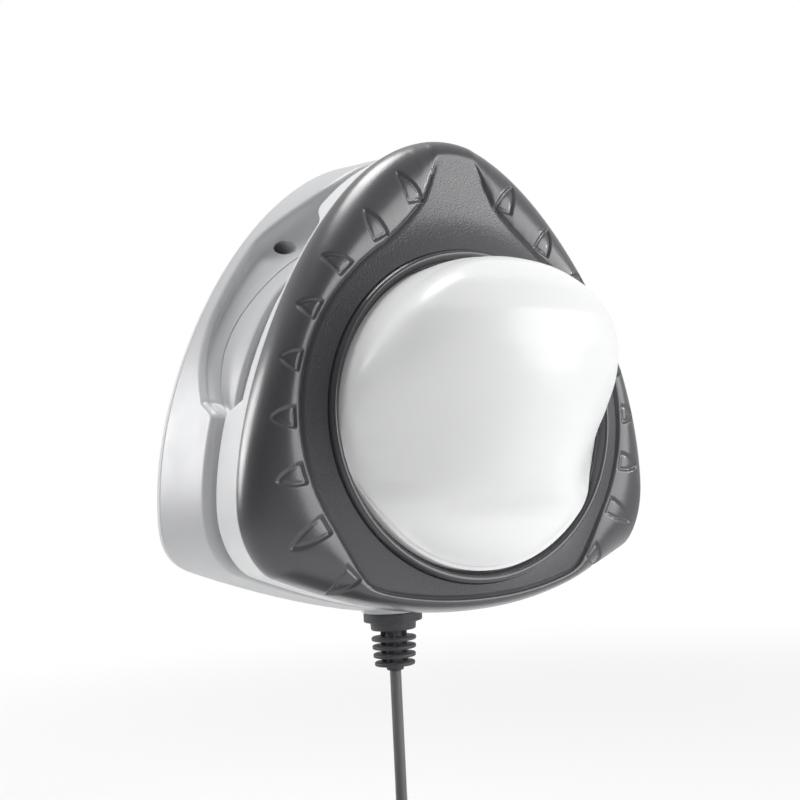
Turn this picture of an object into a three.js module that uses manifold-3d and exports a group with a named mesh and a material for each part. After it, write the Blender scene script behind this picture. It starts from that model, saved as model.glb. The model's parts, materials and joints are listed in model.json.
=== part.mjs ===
// Magnetic pool-wall light. A wall unit hangs on the dry side of the pool wall and a lamp unit sits
// on the wet side; magnets hold the two together through the wall, and coils pass the power.
// Millimetres. +X is right seen from the front, -Y is the way the lamp shines, +Z is up. The origin
// is the centre of the wall unit's pad face, level with the middle of the lens.
import * as THREE from 'three';
import { mergeVertices } from 'three/addons/utils/BufferGeometryUtils.js';
import Module from 'manifold-3d';

const wasm = await Module();
wasm.setup();

// ---- Driving dimensions ------------------------------------------------------------------------
const GAP = 0.3; // air left between pieces that touch
const WALL = 2.5; // moulded wall thickness
const POOL_WALL = 3; // pool wall and liner held between the pads
const PAD_PROUD = 1; // how far a pad stands out of its shell

// Outlines, seen from the front: a rounded triangle standing on its long side.
const LAMP_OUTLINE = {
  top: 139.3, bottom: -94.1, halfWidth: 115.4, widestZ: -37.5, topPull: 62.1, sidePull: 60.5,
  corner: [100.2, -70.3], cornerSlope: 0.4, cornerPullIn: 17.7, cornerPullOut: 7.1,
  bottomPullIn: 40.3, bottomPullOut: 37.1,
};
const WALL_OUTLINE = {
  top: 147.6, bottom: -99, halfWidth: 126.5, widestZ: -37.7, topPull: 65.4, sidePull: 77.9,
  corner: [111.8, -69], cornerSlope: 0.4, cornerPullIn: 15.6, cornerPullOut: 14,
  bottomPullIn: 31.9, bottomPullOut: 30,
};
const OUTLINE_SPANS = [14, 7, 6]; // facets along the side, the corner and half of the bottom

// Lamp unit, front to back.
const LENS_R = 74; // visible radius of the dome where it leaves its ring
const DOME_BASE_Y = -51.5;
const DOME_COLLAR = 6; // the lens runs this far back into its ring
const PAN_BACK_Y = -22; // back of the dry pan behind the lens
const PAN_R = 76;
const RING_FRONT_Y = -57.5;
const RING_OUTER_R = 80;
const RING_CLEARANCE = 1.4; // the cover's opening has flat facets
const SURROUND_Y = -54; // front of the lens surround at the opening
const SURROUND_FALL = 8.5; // how far the surround falls back in all
const SURROUND_REACH = 14; // and how gradually
const CREASE_R = 91; // crease between the lens surround and the side bumpers
const CREASE_BOTTOM_ANGLE = -30; // degrees below which it runs straight to the bottom edge
// Towards the top the crease swings out to the edge: its angle and its distance from the lens centre.
const CREASE_TOP = [[0, 91], [45, 91], [61, 92.6], [68, 95.7], [76, 103.2], [82, 115.4], [90, 132]];
const RIM_MIN_WIDTH = 8; // narrowest rounded rim outside the crease
const COVER_EDGE_Y = -32;
const LAMP_BACK_Y = -POOL_WALL - PAD_PROUD;
const LAMP_SCOOP_EDGE_Y = -28;

// Wall unit, front to back.
const UNIT_FRONT_Y = PAD_PROUD;
const UNIT_SCOOP_EDGE_Y = 30;
const BOWL_STEEPNESS = 1.7; // how sharply the recess rises to the pad
const BOWL_DIP = 2.5; // how far it sinks below its lip
const PARTING_Y = 40;
const REAR_CORNER_R = 28;
const REAR_CROWN = 5;

// Grip scoops in the upper sides, where fingers reach between the two units.
const SCOOP_BOTTOM_Z = [4, 13];
const UNIT_SCOOP_TOP_Z = [90, 128];
const UNIT_SCOOP_START = 0.4; // share of its depth at its lower end
const UNIT_SCOOP_FULL_Z = 60; // from here up it has its full depth
const LAMP_SCOOP_TOP_Z = [92, 110];
const PAD_R = 101;
const PAD_EDGE_INSET = 8; // the pad stays this far inside the outline where that is closer

// Screws that close each unit, as x, z. They sit at the bottom of wells and bite into posts.
const UNIT_SCREWS = {
  left_top: [-63, 93], right_top: [63, 93], left_base: [-96, -56], right_base: [96, -56],
};
const LAMP_SCREWS = {
  left_top: [-28, 112], right_top: [28, 112], left_base: [-92, -52], right_base: [92, -52],
};
const WELL_R = 4;
const WELL_WALL = 2.2;
const SCREW_HOLE_R = 2;
const POST_R = 5;
const SCREW_HEAD_R = 3.4;
const SCREW_HEAD = 2.2;
const SCREW_R = 1.6;
const SCREW_LENGTH = 13;
const UNIT_WELL_Y = 46; // the wells end here inside the wall unit
const UNIT_WELL_MOUTH_Y = 30; // and the upper two begin here, under the recess
const LAMP_WELL_Y = -14;
const LAMP_SCREW_HOLE_END_Y = -28;
const MAGNETS = { top: [0, 76], left: [-73, -42], right: [73, -42] };
const MAGNET_R = 15;
const MAGNET_DEPTH = 8;

// Boards, coils and the rest inside.
const BOARD = 1.6;
const SPREADER = 3.5;
const LED_HEIGHT = 2.4;
const COIL_THICKNESS = 4;
const FERRITE_THICKNESS = 3;
const DRIVE_BOARD_Y = 22;

// Cord: 6.2 mm round cable on the ground below, wound up, with a plug-in transformer on its end.
const GROUND_Z = -265;
const CORD_R = 3.1;
const COIL_CENTRE = [-59, -40];
const COIL_COLUMNS = 6;
const COIL_LAYERS = 4;
const COIL_MEAN_R = 43.5;
const COIL_LIFT = 1.6; // the tie passes underneath
const RELIEF_TOP_Z = -99.5;
const RELIEF_NECK_R = 7.6;
const TIE_WIDTH = 5;
const TIE_THICKNESS = 1.2;
const ADAPTER = { left: -78, right: -8, front: 38, back: 68, height: 46, cordZ: -258, sleeve: 12.6 };
const PIN = { radius: 2, length: 19, spacing: 19 };

// ---- Materials ---------------------------------------------------------------------------------
const material = (color, roughness, metalness = 0) =>
  new THREE.MeshStandardMaterial({ color, roughness, metalness });
const DARK_GREY = material(0x55555b, 0.42);
const RING_GREY = material(0x4a4a50, 0.3);
const WHITE = material(0xe9eaec, 0.35);
const LIGHT_GREY = material(0xd9dadd, 0.4);
const PAD_GREY = material(0xc9cacd, 0.7);
const OPAL = material(0xf1f2f3, 0.12);
const RUBBER = material(0x3c3c40, 0.75);
const CORD_GREY = material(0x6b6b70, 0.6);
const BLACK = material(0x1c1c1e, 0.5);
const BOARD_GREEN = material(0x1f5a38, 0.5);
const COPPER = material(0xb5703a, 0.35, 1);
const FERRITE = material(0x3a3a3d, 0.8);
const NICKEL = material(0xc4c6c9, 0.25, 1);
const LED_YELLOW = material(0xf2e27a, 0.3);

const part = new THREE.Group();

function place(name, geometry, surface, position = [0, 0, 0]) {
  const mesh = new THREE.Mesh(geometry, surface);
  mesh.name = name;
  mesh.position.set(...position);
  part.add(mesh);
  return mesh;
}

// ---- Solids ------------------------------------------------------------------------------------
function toSolid(geometry) {
  const bare = geometry.clone();
  bare.deleteAttribute('normal');
  bare.deleteAttribute('uv');
  const merged = mergeVertices(bare, 1e-4);
  const corners = Array.from(merged.index.array);
  const triangles = [];
  for (let i = 0; i < corners.length; i += 3) {
    const [a, b, c] = corners.slice(i, i + 3);
    if (a !== b && b !== c && c !== a) triangles.push(a, b, c);
  }
  if (signedVolume(merged.attributes.position.array, triangles) < 0) triangles.reverse();
  return new wasm.Manifold(new wasm.Mesh({
    numProp: 3,
    vertProperties: new Float32Array(merged.attributes.position.array),
    triVerts: new Uint32Array(triangles),
  }));
}

function toGeometry(solid) {
  const mesh = solid.getMesh();
  const geometry = new THREE.BufferGeometry();
  geometry.setAttribute('position', new THREE.BufferAttribute(mesh.vertProperties, 3));
  geometry.setIndex(new THREE.BufferAttribute(mesh.triVerts, 1));
  return geometry;
}

const cut = (geometry, ...tools) =>
  toGeometry(tools.reduce((solid, tool) => solid.subtract(toSolid(tool)), toSolid(geometry)));
const join = (...pieces) => toGeometry(pieces.map(toSolid).reduce((sum, piece) => sum.add(piece)));
const overlap = (a, b) => toGeometry(toSolid(a).intersect(toSolid(b)));

function signedVolume(positions, index) {
  const [a, b, c] = [new THREE.Vector3(), new THREE.Vector3(), new THREE.Vector3()];
  let volume = 0;
  for (let i = 0; i < index.length; i += 3) {
    a.fromArray(positions, index[i] * 3);
    b.fromArray(positions, index[i + 1] * 3);
    c.fromArray(positions, index[i + 2] * 3);
    volume += a.dot(b.cross(c)) / 6;
  }
  return volume;
}

// Skins a stack of rings that all have the same number of points. A stack that closes on itself
// becomes a hoop; an open stack gets a flat-fanned cap at each end.
function skin(rings, closesOnItself = false) {
  const count = rings[0].length;
  const positions = rings.flat().flatMap((p) => [p.x, p.y, p.z]);
  const index = [];
  const bands = closesOnItself ? rings.length : rings.length - 1;
  for (let k = 0; k < bands; k += 1) {
    const near = k * count;
    const far = ((k + 1) % rings.length) * count;
    for (let i = 0; i < count; i += 1) {
      const j = (i + 1) % count;
      index.push(near + i, near + j, far + j, near + i, far + j, far + i);
    }
  }
  const cap = (ring, start, flip) => {
    const centre = ring.reduce((sum, p) => sum.add(p), new THREE.Vector3()).divideScalar(count);
    const hub = positions.length / 3;
    positions.push(centre.x, centre.y, centre.z);
    for (let i = 0; i < count; i += 1) {
      const j = (i + 1) % count;
      index.push(...(flip ? [hub, start + j, start + i] : [hub, start + i, start + j]));
    }
  };
  if (!closesOnItself) {
    cap(rings[0], 0, true);
    cap(rings[rings.length - 1], (rings.length - 1) * count, false);
  }
  if (signedVolume(positions, index) < 0) index.reverse();
  const geometry = new THREE.BufferGeometry();
  geometry.setAttribute('position', new THREE.Float32BufferAttribute(positions, 3));
  geometry.setIndex(index);
  return geometry;
}

// A turned piece: the profile is [radius, y] pairs and the axis runs along Y.
function turned(profile, segments = 40) {
  const points = profile.map(([r, y]) => new THREE.Vector2(r, y));
  return toGeometry(toSolid(new THREE.LatheGeometry(points, segments)));
}

// A hoop of rectangular section about the Y axis.
const hoop = (inner, outer, y0, y1, segments = 40) =>
  turned([[inner, y0], [outer, y0], [outer, y1], [inner, y1], [inner, y0]], segments);

const disc = (radius, y0, y1, segments = 28) =>
  turned([[0, y0], [radius, y0], [radius, y1], [0, y1]], segments);

// A round bar along Y between two depths.
const bar = (radius, y0, y1, x, z, segments = 10) => disc(radius, y0, y1, segments).translate(x, 0, z);

function block(width, depth, height, x, y, z) {
  return new THREE.BoxGeometry(width, depth, height).translate(x, y, z);
}

// ---- Outlines ----------------------------------------------------------------------------------
// The right half of an outline, from the top centre to the bottom centre, as three cubic curves.
function halfOutline(shape) {
  const v = (x, z) => new THREE.Vector2(x, z);
  const [cx, cz] = shape.corner;
  const along = v(Math.cos(shape.cornerSlope), Math.sin(shape.cornerSlope));
  const corner = v(cx, cz);
  const before = corner.clone().addScaledVector(along, shape.cornerPullOut);
  const after = corner.clone().addScaledVector(along, -shape.bottomPullIn);
  const curves = [
    new THREE.CubicBezierCurve(v(0, shape.top), v(shape.topPull, shape.top),
      v(shape.halfWidth, shape.widestZ + shape.sidePull), v(shape.halfWidth, shape.widestZ)),
    new THREE.CubicBezierCurve(v(shape.halfWidth, shape.widestZ),
      v(shape.halfWidth, shape.widestZ - shape.cornerPullIn), before, corner),
    new THREE.CubicBezierCurve(corner, after, v(shape.bottomPullOut, shape.bottom), v(0, shape.bottom)),
  ];
  return curves.flatMap((curve, i) => curve.getSpacedPoints(OUTLINE_SPANS[i]).slice(i ? 1 : 0));
}

function outline(shape) {
  const right = halfOutline(shape);
  const left = right.slice(1, -1).reverse().map((p) => new THREE.Vector2(-p.x, p.y));
  return [...right, ...left];
}

const mix = (a, b, t) => a.map((p, i) => p.clone().lerp(b[i], t));

// Moves an outline inwards by the same distance everywhere.
function inset(points, distance) {
  return points.map((p, i) => {
    const before = points[(i + points.length - 1) % points.length];
    const after = points[(i + 1) % points.length];
    const along = after.clone().sub(before).normalize();
    return p.clone().add(new THREE.Vector2(along.y, -along.x).multiplyScalar(distance));
  });
}

// Draws an outline towards the centre of the lens, which stays smooth over a long way.
const shrink = (points, distance) => points.map((p) => p.clone().setLength(p.length() - distance));
const scaledTo = (points, radiusOf) => points.map((p) => p.clone().setLength(radiusOf(p)));
const atDepth = (points, y) =>
  points.map((p, i) => new THREE.Vector3(p.x, typeof y === 'function' ? y(p, i) : y, p.y));

const lampOutline = outline(LAMP_OUTLINE);
const wallOutline = outline(WALL_OUTLINE);
const wallFront = mix(lampOutline, wallOutline, 0.27);

const smooth = (low, high, value) => THREE.MathUtils.smoothstep(value, low, high);
// 1 inside the grip scoops, 0 elsewhere.
const scoopTo = (topZ) => (p) => smooth(...SCOOP_BOTTOM_Z, p.y) * (1 - smooth(...topZ, p.y));
const padOutline = (edge) => {
  const held = shrink(edge, PAD_EDGE_INSET);
  return held.map((p) => p.clone().setLength(Math.min(PAD_R, p.length())));
};

// ---- Lamp unit ---------------------------------------------------------------------------------
// Straight lines between the rows of a table, read at one value of its first column.
function along(table, value, column = 1) {
  const next = Math.max(1, table.findIndex((row) => row[0] >= value));
  const [low, high] = [table[next - 1], table[next]];
  return THREE.MathUtils.mapLinear(value, low[0], high[0], low[column], high[column]);
}

function creaseRadius(p) {
  const angle = THREE.MathUtils.radToDeg(Math.atan2(p.y, Math.abs(p.x)));
  const bend = THREE.MathUtils.clamp(CREASE_BOTTOM_ANGLE - angle, 0, 60);
  const straight = CREASE_R / Math.cos(THREE.MathUtils.degToRad(bend));
  return Math.min(angle > 0 ? along(CREASE_TOP, angle) : straight, p.length() - RIM_MIN_WIDTH);
}

function frontCover() {
  const opening = RING_OUTER_R + RING_CLEARANCE;
  const surroundY = (p) =>
    SURROUND_Y + SURROUND_FALL * (1 - Math.exp((opening - p.length()) / SURROUND_REACH));
  const shell = (edge, setBack) => {
    const crease = scaledTo(edge, creaseRadius);
    const lens = scaledTo(edge, () => opening);
    const rings = [];
    const roundSteps = 4;
    for (let k = 0; k <= roundSteps; k += 1) {
      const turn = (k / roundSteps) * Math.PI / 2;
      const height = (p, i) => surroundY(crease[i]) + setBack - COVER_EDGE_Y;
      const y = (p, i) => COVER_EDGE_Y + height(p, i) * Math.sin(turn);
      rings.push(atDepth(mix(edge, crease, 1 - Math.cos(turn)), y));
    }
    for (const share of [0.4, 0.75, 1]) {
      rings.push(atDepth(mix(crease, lens, share), (p) => surroundY(p) + setBack));
    }
    return rings;
  };
  const outside = shell(lampOutline, 0);
  const inside = shell(inset(lampOutline, WALL), WALL);
  const hull = skin([...outside, ...inside.reverse()], true);
  const screws = Object.values(LAMP_SCREWS);
  // Each post starts on the shell's well and ends inside the thickness of the cover.
  const within = skin(shell(inset(lampOutline, WALL / 2), WALL / 2));
  const posts = screws.flatMap(([x, z]) => [
    bar(POST_R, LAMP_WELL_Y - GAP, COVER_EDGE_Y - 1, x, z),
    overlap(bar(POST_R, COVER_EDGE_Y - 0.5, SURROUND_Y, x, z), within),
  ]);
  const holes = screws.map(([x, z]) => bar(SCREW_HOLE_R, 0, LAMP_SCREW_HOLE_END_Y, x, z));
  return cut(join(hull, ...posts), ...holes);
}

function lampRearShell() {
  const scoop = scoopTo(LAMP_SCOOP_TOP_Z);
  const scoopY = (p) => THREE.MathUtils.lerp(LAMP_BACK_Y - 2, LAMP_SCOOP_EDGE_Y, scoop(p));
  const floorY = (p) => THREE.MathUtils.lerp(LAMP_BACK_Y, LAMP_SCOOP_EDGE_Y + 10, scoop(p));
  const rim = inset(lampOutline, 2);
  const pad = padOutline(lampOutline);
  const back = [
    atDepth(lampOutline, COVER_EDGE_Y + GAP),
    atDepth(lampOutline, (p) => scoopY(p) - 0.5),
    atDepth(rim, (p) => scoopY(p) + 1.5),
    atDepth(mix(rim, pad, 0.55), floorY),
    atDepth(pad, LAMP_BACK_Y),
  ];
  const wallRing = inset(lampOutline, WALL);
  const insidePad = shrink(pad, WALL);
  const front = [
    atDepth(insidePad, LAMP_BACK_Y - WALL),
    atDepth(mix(inset(rim, WALL), insidePad, 0.55), (p) => floorY(p) - WALL),
    atDepth(inset(lampOutline, WALL + 1.5), (p) => scoopY(p) - WALL + 1),
    atDepth(wallRing, COVER_EDGE_Y + GAP),
  ];
  const hull = skin([...back.reverse(), ...front.reverse()]);
  const tubes = Object.values(LAMP_SCREWS).map(([x, z]) =>
    bar(WELL_R + WELL_WALL, LAMP_BACK_Y - 1, LAMP_WELL_Y, x, z));
  const wells = Object.values(LAMP_SCREWS).map(([x, z]) => bar(WELL_R, 0, LAMP_WELL_Y + WALL, x, z));
  const holes = Object.values(LAMP_SCREWS).map(([x, z]) => bar(SCREW_HOLE_R, 0, LAMP_WELL_Y - 1, x, z));
  return cut(join(hull, ...tubes), ...wells, ...holes);
}

// The lens: full and steep above, drawn in at both sides below the middle, full again at the foot.
// Its level sections, bottom to top: z, how far the middle stands out, how far its wall does at the
// ring, and how sharp-edged the section is.
const DOME_SECTIONS = [
  [-74, 7, 7, 1], [-58, 8, 8, 1], [-48, 22, 8, 1], [-40, 33, 6, 0.9], [-30, 42, 3, 0.76],
  [-20, 48, 3, 0.78], [-8, 54, 3, 0.9], [4, 58, 4, 1.3], [15, 60, 6, 1.8], [28, 61, 16, 2],
  [42, 60, 29, 2], [56, 55, 35, 2], [66, 47, 32, 2], [74, 29, 27, 2],
];
const DOME_FULLNESS = 2.2;
const FOOT_HEIGHT = 29;
const DOME_SIDE_ROUNDING = 62; // how quickly the side wall turns in

function domeHeight(x, z, radius) {
  const level = z * (LENS_R / radius);
  const [middle, wall, sharpness] = [1, 2, 3].map((column) => along(DOME_SECTIONS, level, column));
  const reach = Math.min(Math.hypot(x, z) / radius, 1);
  const half = Math.sqrt(Math.max(radius ** 2 - z ** 2, 1));
  const across = Math.min(Math.abs(x) / half, 1);
  const front = wall + (middle - wall) * (1 - across ** DOME_FULLNESS) ** (1 / sharpness);
  const foot = FOOT_HEIGHT * (1 - reach ** 2.6) ** 0.55 * (1 - smooth(-46, -18, z));
  return Math.min(Math.max(front, foot), DOME_SIDE_ROUNDING * Math.sqrt((1 - reach) / 0.07));
}

function dome() {
  const segments = 48;
  const steps = 9;
  const surface = (radius, thinner) => {
    const rings = [];
    for (let k = 0; k < steps; k += 1) {
      const reach = Math.cos((k / steps) * Math.PI / 2);
      const ring = [];
      for (let i = 0; i < segments; i += 1) {
        const angle = (i / segments) * Math.PI * 2;
        const [x, z] = [radius * reach * Math.cos(angle), radius * reach * Math.sin(angle)];
        ring.push(new THREE.Vector3(x, DOME_BASE_Y - Math.max(domeHeight(x, z, radius) - thinner, 0), z));
      }
      rings.push(ring);
    }
    return rings;
  };
  const outside = surface(LENS_R, 0);
  const inside = surface(LENS_R - WALL, WALL);
  const collar = outside[0].map((p) => p.clone().setY(DOME_BASE_Y + DOME_COLLAR));
  const collarInside = inside[0].map((p) => p.clone().setY(DOME_BASE_Y + DOME_COLLAR));
  return skin([...outside.reverse(), collar, collarInside, ...inside]);
}

function lampUnit() {
  place('front_cover', frontCover(), DARK_GREY);
  const ringInner = LENS_R + GAP;
  place('lens_ring', turned([
    [ringInner, -53], [ringInner, -54.5], [76, -54.5], [77, -57], [78.5, RING_FRONT_Y],
    [RING_OUTER_R, -56], [RING_OUTER_R, -51], [ringInner, -51], [ringInner, -53],
  ], 40), RING_GREY);
  place('diffuser_dome', dome(), OPAL);
  const sealY = DOME_BASE_Y + DOME_COLLAR + GAP;
  place('dome_seal', hoop(LENS_R - 2.2, LENS_R, sealY, sealY + 2.3, 32), RUBBER);
  place('lamp_rear_shell', lampRearShell(), WHITE);
  // A round pan behind the lens keeps the electronics dry.
  const panInner = LENS_R - 5;
  const panRimY = sealY + 2.3 + GAP + 0.2;
  place('lamp_pan', turned([
    [0, PAN_BACK_Y], [PAN_R, PAN_BACK_Y], [PAN_R, panRimY], [panInner, panRimY],
    [panInner, PAN_BACK_Y - WALL], [0, PAN_BACK_Y - WALL],
  ], 32), WHITE);
  const boardY = PAN_BACK_Y - WALL - 1 - SPREADER - BOARD;
  place('led_board', disc(60, boardY, boardY + BOARD, 28), BOARD_GREEN);
  const coneY = boardY - 0.4;
  const coneFrontY = panRimY + 0.4;
  const cone = [
    [52, coneY], [67, coneFrontY], [68, coneFrontY], [68, coneFrontY + 1.5], [54, coneY], [52, coneY],
  ];
  place('reflector', turned(cone, 28), WHITE);
  const spreaderY = boardY + BOARD + 0.4;
  place('heat_spreader', disc(50, spreaderY, spreaderY + SPREADER, 24), NICKEL);
  const ledCount = 6;
  const ledY = boardY - 0.4 - LED_HEIGHT / 2;
  for (let i = 0; i < ledCount; i += 1) {
    const angle = (i / ledCount) * Math.PI * 2;
    const led = block(7, LED_HEIGHT, 7, 30 * Math.cos(angle), ledY, 30 * Math.sin(angle));
    place(`led_${i + 1}`, led, LED_YELLOW);
  }
  const receiverY = PAN_BACK_Y + 2.5;
  place('receiver_board', block(64, BOARD, 36, 0, receiverY, 0), BOARD_GREEN);
  const receiverCoilY = LAMP_BACK_Y - WALL - 0.5 - COIL_THICKNESS;
  const ferriteY = receiverCoilY - 0.4 - FERRITE_THICKNESS;
  place('receiver_ferrite', disc(60, ferriteY, ferriteY + FERRITE_THICKNESS), FERRITE);
  place('receiver_coil', hoop(32, 56, receiverCoilY, receiverCoilY + COIL_THICKNESS, 28), COPPER);
  for (const [where, [x, z]] of Object.entries(MAGNETS)) {
    const y = LAMP_BACK_Y - WALL - GAP;
    place(`lamp_magnet_${where}`, disc(MAGNET_R, y - MAGNET_DEPTH, y, 16), NICKEL, [x, 0, z]);
  }
  const pad = padOutline(lampOutline);
  const padEdge = inset(pad, 1.5);
  for (const [where, [x, z]] of Object.entries(LAMP_SCREWS)) {
    const y = LAMP_WELL_Y + WALL + GAP + SCREW_HEAD;
    place(`lamp_screw_${where}`, screw().rotateX(Math.PI), NICKEL, [x, y, z]);
  }
  const padLayers = [LAMP_BACK_Y + GAP, LAMP_BACK_Y + PAD_PROUD].map((y) => atDepth(padEdge, y));
  place('lamp_pad', skin(padLayers), PAD_GREY);
}

// ---- Wall unit ---------------------------------------------------------------------------------
function unitFrontShell() {
  const sides = scoopTo(UNIT_SCOOP_TOP_Z);
  const run = UNIT_SCOOP_FULL_Z - SCOOP_BOTTOM_Z[1];
  const rise = (z) => 1 - THREE.MathUtils.clamp((UNIT_SCOOP_FULL_Z - z) / run, 0, 1) ** 2;
  // Worked out once for every corner of the outline, so that each ring uses the same depths.
  const scoop = wallFront.map((p) => sides(p) * THREE.MathUtils.lerp(UNIT_SCOOP_START, 1, rise(p.y)));
  const edgeY = scoop.map((share) => THREE.MathUtils.lerp(UNIT_FRONT_Y, UNIT_SCOOP_EDGE_Y, share));
  const lipY = (drop) => (p, i) => edgeY[i] + drop;
  // The recess between its lip and the pad: a hollow that rises to the pad.
  const bowlY = (share, drop) => (p, i) =>
    THREE.MathUtils.lerp(edgeY[i], UNIT_FRONT_Y, share ** BOWL_STEEPNESS)
    + BOWL_DIP * scoop[i] * Math.sin(Math.PI * share) + drop;
  // The side wall flares out from the front edge to the parting line.
  const edge = wallFront.map((p, i) =>
    p.clone().lerp(wallOutline[i], (edgeY[i] + 5 - UNIT_FRONT_Y) / (PARTING_Y - UNIT_FRONT_Y)));
  const pad = padOutline(wallFront);
  const lip = inset(edge, 3.4);
  const innerLip = inset(lip, WALL);
  const innerPad = shrink(pad, WALL);
  const outside = [
    atDepth(wallOutline, PARTING_Y - GAP),
    atDepth(edge, lipY(5)),
    atDepth(inset(edge, 1.1), lipY(1.3)),
    atDepth(lip, lipY(0)),
    ...[0.3, 0.6, 0.85].map((share) => atDepth(mix(lip, pad, share), bowlY(share, 0))),
    atDepth(pad, UNIT_FRONT_Y),
  ];
  const inside = [
    atDepth(innerPad, UNIT_FRONT_Y + WALL),
    ...[0.6, 0.3].map((share) => atDepth(mix(innerLip, innerPad, share), bowlY(share, WALL))),
    atDepth(inset(edge, WALL + 2), lipY(WALL + 2)),
    atDepth(inset(wallOutline, WALL), PARTING_Y - GAP),
  ];
  const filled = skin(outside.reverse());
  const hull = skin([...outside, ...inside.reverse()]);
  const screws = Object.entries(UNIT_SCREWS);
  const mouth = (where) => (where.endsWith('top') ? UNIT_WELL_MOUTH_Y : UNIT_FRONT_Y + 1);
  // The upper wells start level with the sloping recess.
  const collars = screws.filter(([where]) => where.endsWith('top')).map(([, [x, z]]) =>
    overlap(bar(WELL_R + WELL_WALL, UNIT_FRONT_Y, UNIT_WELL_MOUTH_Y + 1, x, z), filled));
  const tubes = screws.map(([where, [x, z]]) => bar(WELL_R + WELL_WALL, mouth(where), UNIT_WELL_Y, x, z));
  const wells = screws.map(([, [x, z]]) => bar(WELL_R, -5, UNIT_WELL_Y - WALL, x, z));
  const holes = screws.map(([, [x, z]]) => bar(SCREW_HOLE_R, 0, UNIT_WELL_Y + 1, x, z));
  const halfBoss = overlap(cordBoss(), block(60, 60, 60, 0, PARTING_Y - GAP - 30, RELIEF_TOP_Z));
  return cut(join(hull, ...tubes, ...collars, halfBoss), ...wells, ...holes, cordHole());
}

const BOSS_R = 17;
const BOSS_HEIGHT = 6.4;
const upright = (radius, height, segments = 20) =>
  new THREE.CylinderGeometry(radius, radius, height, segments)
    .rotateX(Math.PI / 2)
    .translate(0, PARTING_Y, RELIEF_TOP_Z);
const cordBoss = () => upright(BOSS_R, BOSS_HEIGHT).translate(0, 0, GAP + BOSS_HEIGHT / 2);
const cordHole = () => upright(RELIEF_NECK_R + GAP, 40);

function unitRearCover() {
  const shell = (edge, cornerR) => {
    const rings = [atDepth(edge, PARTING_Y)];
    for (const turn of [0.28, 0.52, 0.76, 1]) {
      const angle = turn * Math.PI / 2;
      const drawnIn = shrink(edge, cornerR * (1 - Math.cos(angle)));
      rings.push(atDepth(drawnIn, PARTING_Y + cornerR * Math.sin(angle)));
    }
    const flat = shrink(edge, cornerR);
    rings.push(atDepth(scaledTo(flat, (p) => p.length() * 0.5), PARTING_Y + cornerR + REAR_CROWN * 0.8));
    rings.push(atDepth(scaledTo(flat, (p) => p.length() * 0.12), PARTING_Y + cornerR + REAR_CROWN));
    return rings;
  };
  const outside = shell(wallOutline, REAR_CORNER_R);
  const inside = shell(inset(wallOutline, WALL), REAR_CORNER_R - WALL);
  const hull = skin([...outside.reverse(), ...inside]);
  const screws = Object.values(UNIT_SCREWS);
  const within = skin(shell(inset(wallOutline, WALL / 2), REAR_CORNER_R - WALL / 2).reverse());
  const posts = screws.map(([x, z]) =>
    overlap(bar(POST_R, UNIT_WELL_Y + GAP, PARTING_Y + REAR_CORNER_R, x, z), within));
  const holes = screws.map(([x, z]) => bar(SCREW_HOLE_R, 0, UNIT_WELL_Y + SCREW_LENGTH, x, z));
  const halfBoss = overlap(cordBoss(), block(60, 60, 60, 0, PARTING_Y + 30, RELIEF_TOP_Z));
  return cut(join(hull, ...posts, halfBoss), ...holes, cordHole());
}

function screw() {
  return turned([
    [0, 0], [SCREW_HEAD_R, 0], [SCREW_HEAD_R, SCREW_HEAD], [SCREW_R, SCREW_HEAD],
    [SCREW_R, SCREW_LENGTH], [0, SCREW_LENGTH],
  ], 8);
}

function wallUnit() {
  place('unit_front_shell', unitFrontShell(), LIGHT_GREY);
  place('unit_rear_cover', unitRearCover(), WHITE);
  const sealOuter = inset(wallOutline, 3.6);
  const sealInner = inset(wallOutline, 5.8);
  const sealHoop = skin([atDepth(sealOuter, PARTING_Y - 2), atDepth(sealInner, PARTING_Y - 2),
    atDepth(sealInner, PARTING_Y + 2), atDepth(sealOuter, PARTING_Y + 2)], true);
  place('unit_seal', cut(sealHoop, upright(BOSS_R + GAP, 40)), RUBBER);
  const padEdge = inset(padOutline(wallFront), 1.5);
  place('unit_pad', skin([atDepth(padEdge, 0), atDepth(padEdge, UNIT_FRONT_Y - GAP)]), PAD_GREY);
  const sendingCoilY = UNIT_FRONT_Y + WALL + 0.7;
  const ferriteY = sendingCoilY + COIL_THICKNESS + 0.4;
  place('transmitter_coil', hoop(32, 56, sendingCoilY, sendingCoilY + COIL_THICKNESS, 28), COPPER);
  place('transmitter_ferrite', disc(60, ferriteY, ferriteY + FERRITE_THICKNESS), FERRITE);
  for (const [where, [x, z]] of Object.entries(MAGNETS)) {
    const y = UNIT_FRONT_Y + WALL + GAP;
    place(`unit_magnet_${where}`, disc(MAGNET_R, y, y + MAGNET_DEPTH, 16), NICKEL, [x, 0, z]);
  }
  const partsY = DRIVE_BOARD_Y + BOARD / 2 + 0.4; // the parts stand on the back of the board
  place('drive_board', block(96, BOARD, 60, 0, DRIVE_BOARD_Y, -16), BOARD_GREEN);
  place('drive_inductor', hoop(5, 12, partsY, partsY + 9.8, 20), COPPER, [-26, 0, -16]);
  place('drive_capacitor', disc(6, partsY, partsY + 17.8, 16), BLACK, [4, 0, -8]);
  place('drive_regulator', block(12, 5, 16, 30, partsY + 2.5, -14), BLACK);
  for (const [where, [x, z]] of Object.entries(UNIT_SCREWS)) {
    const y = UNIT_WELL_Y - WALL - GAP - SCREW_HEAD;
    place(`unit_screw_${where}`, screw(), NICKEL, [x, y, z]);
  }
}

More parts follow.
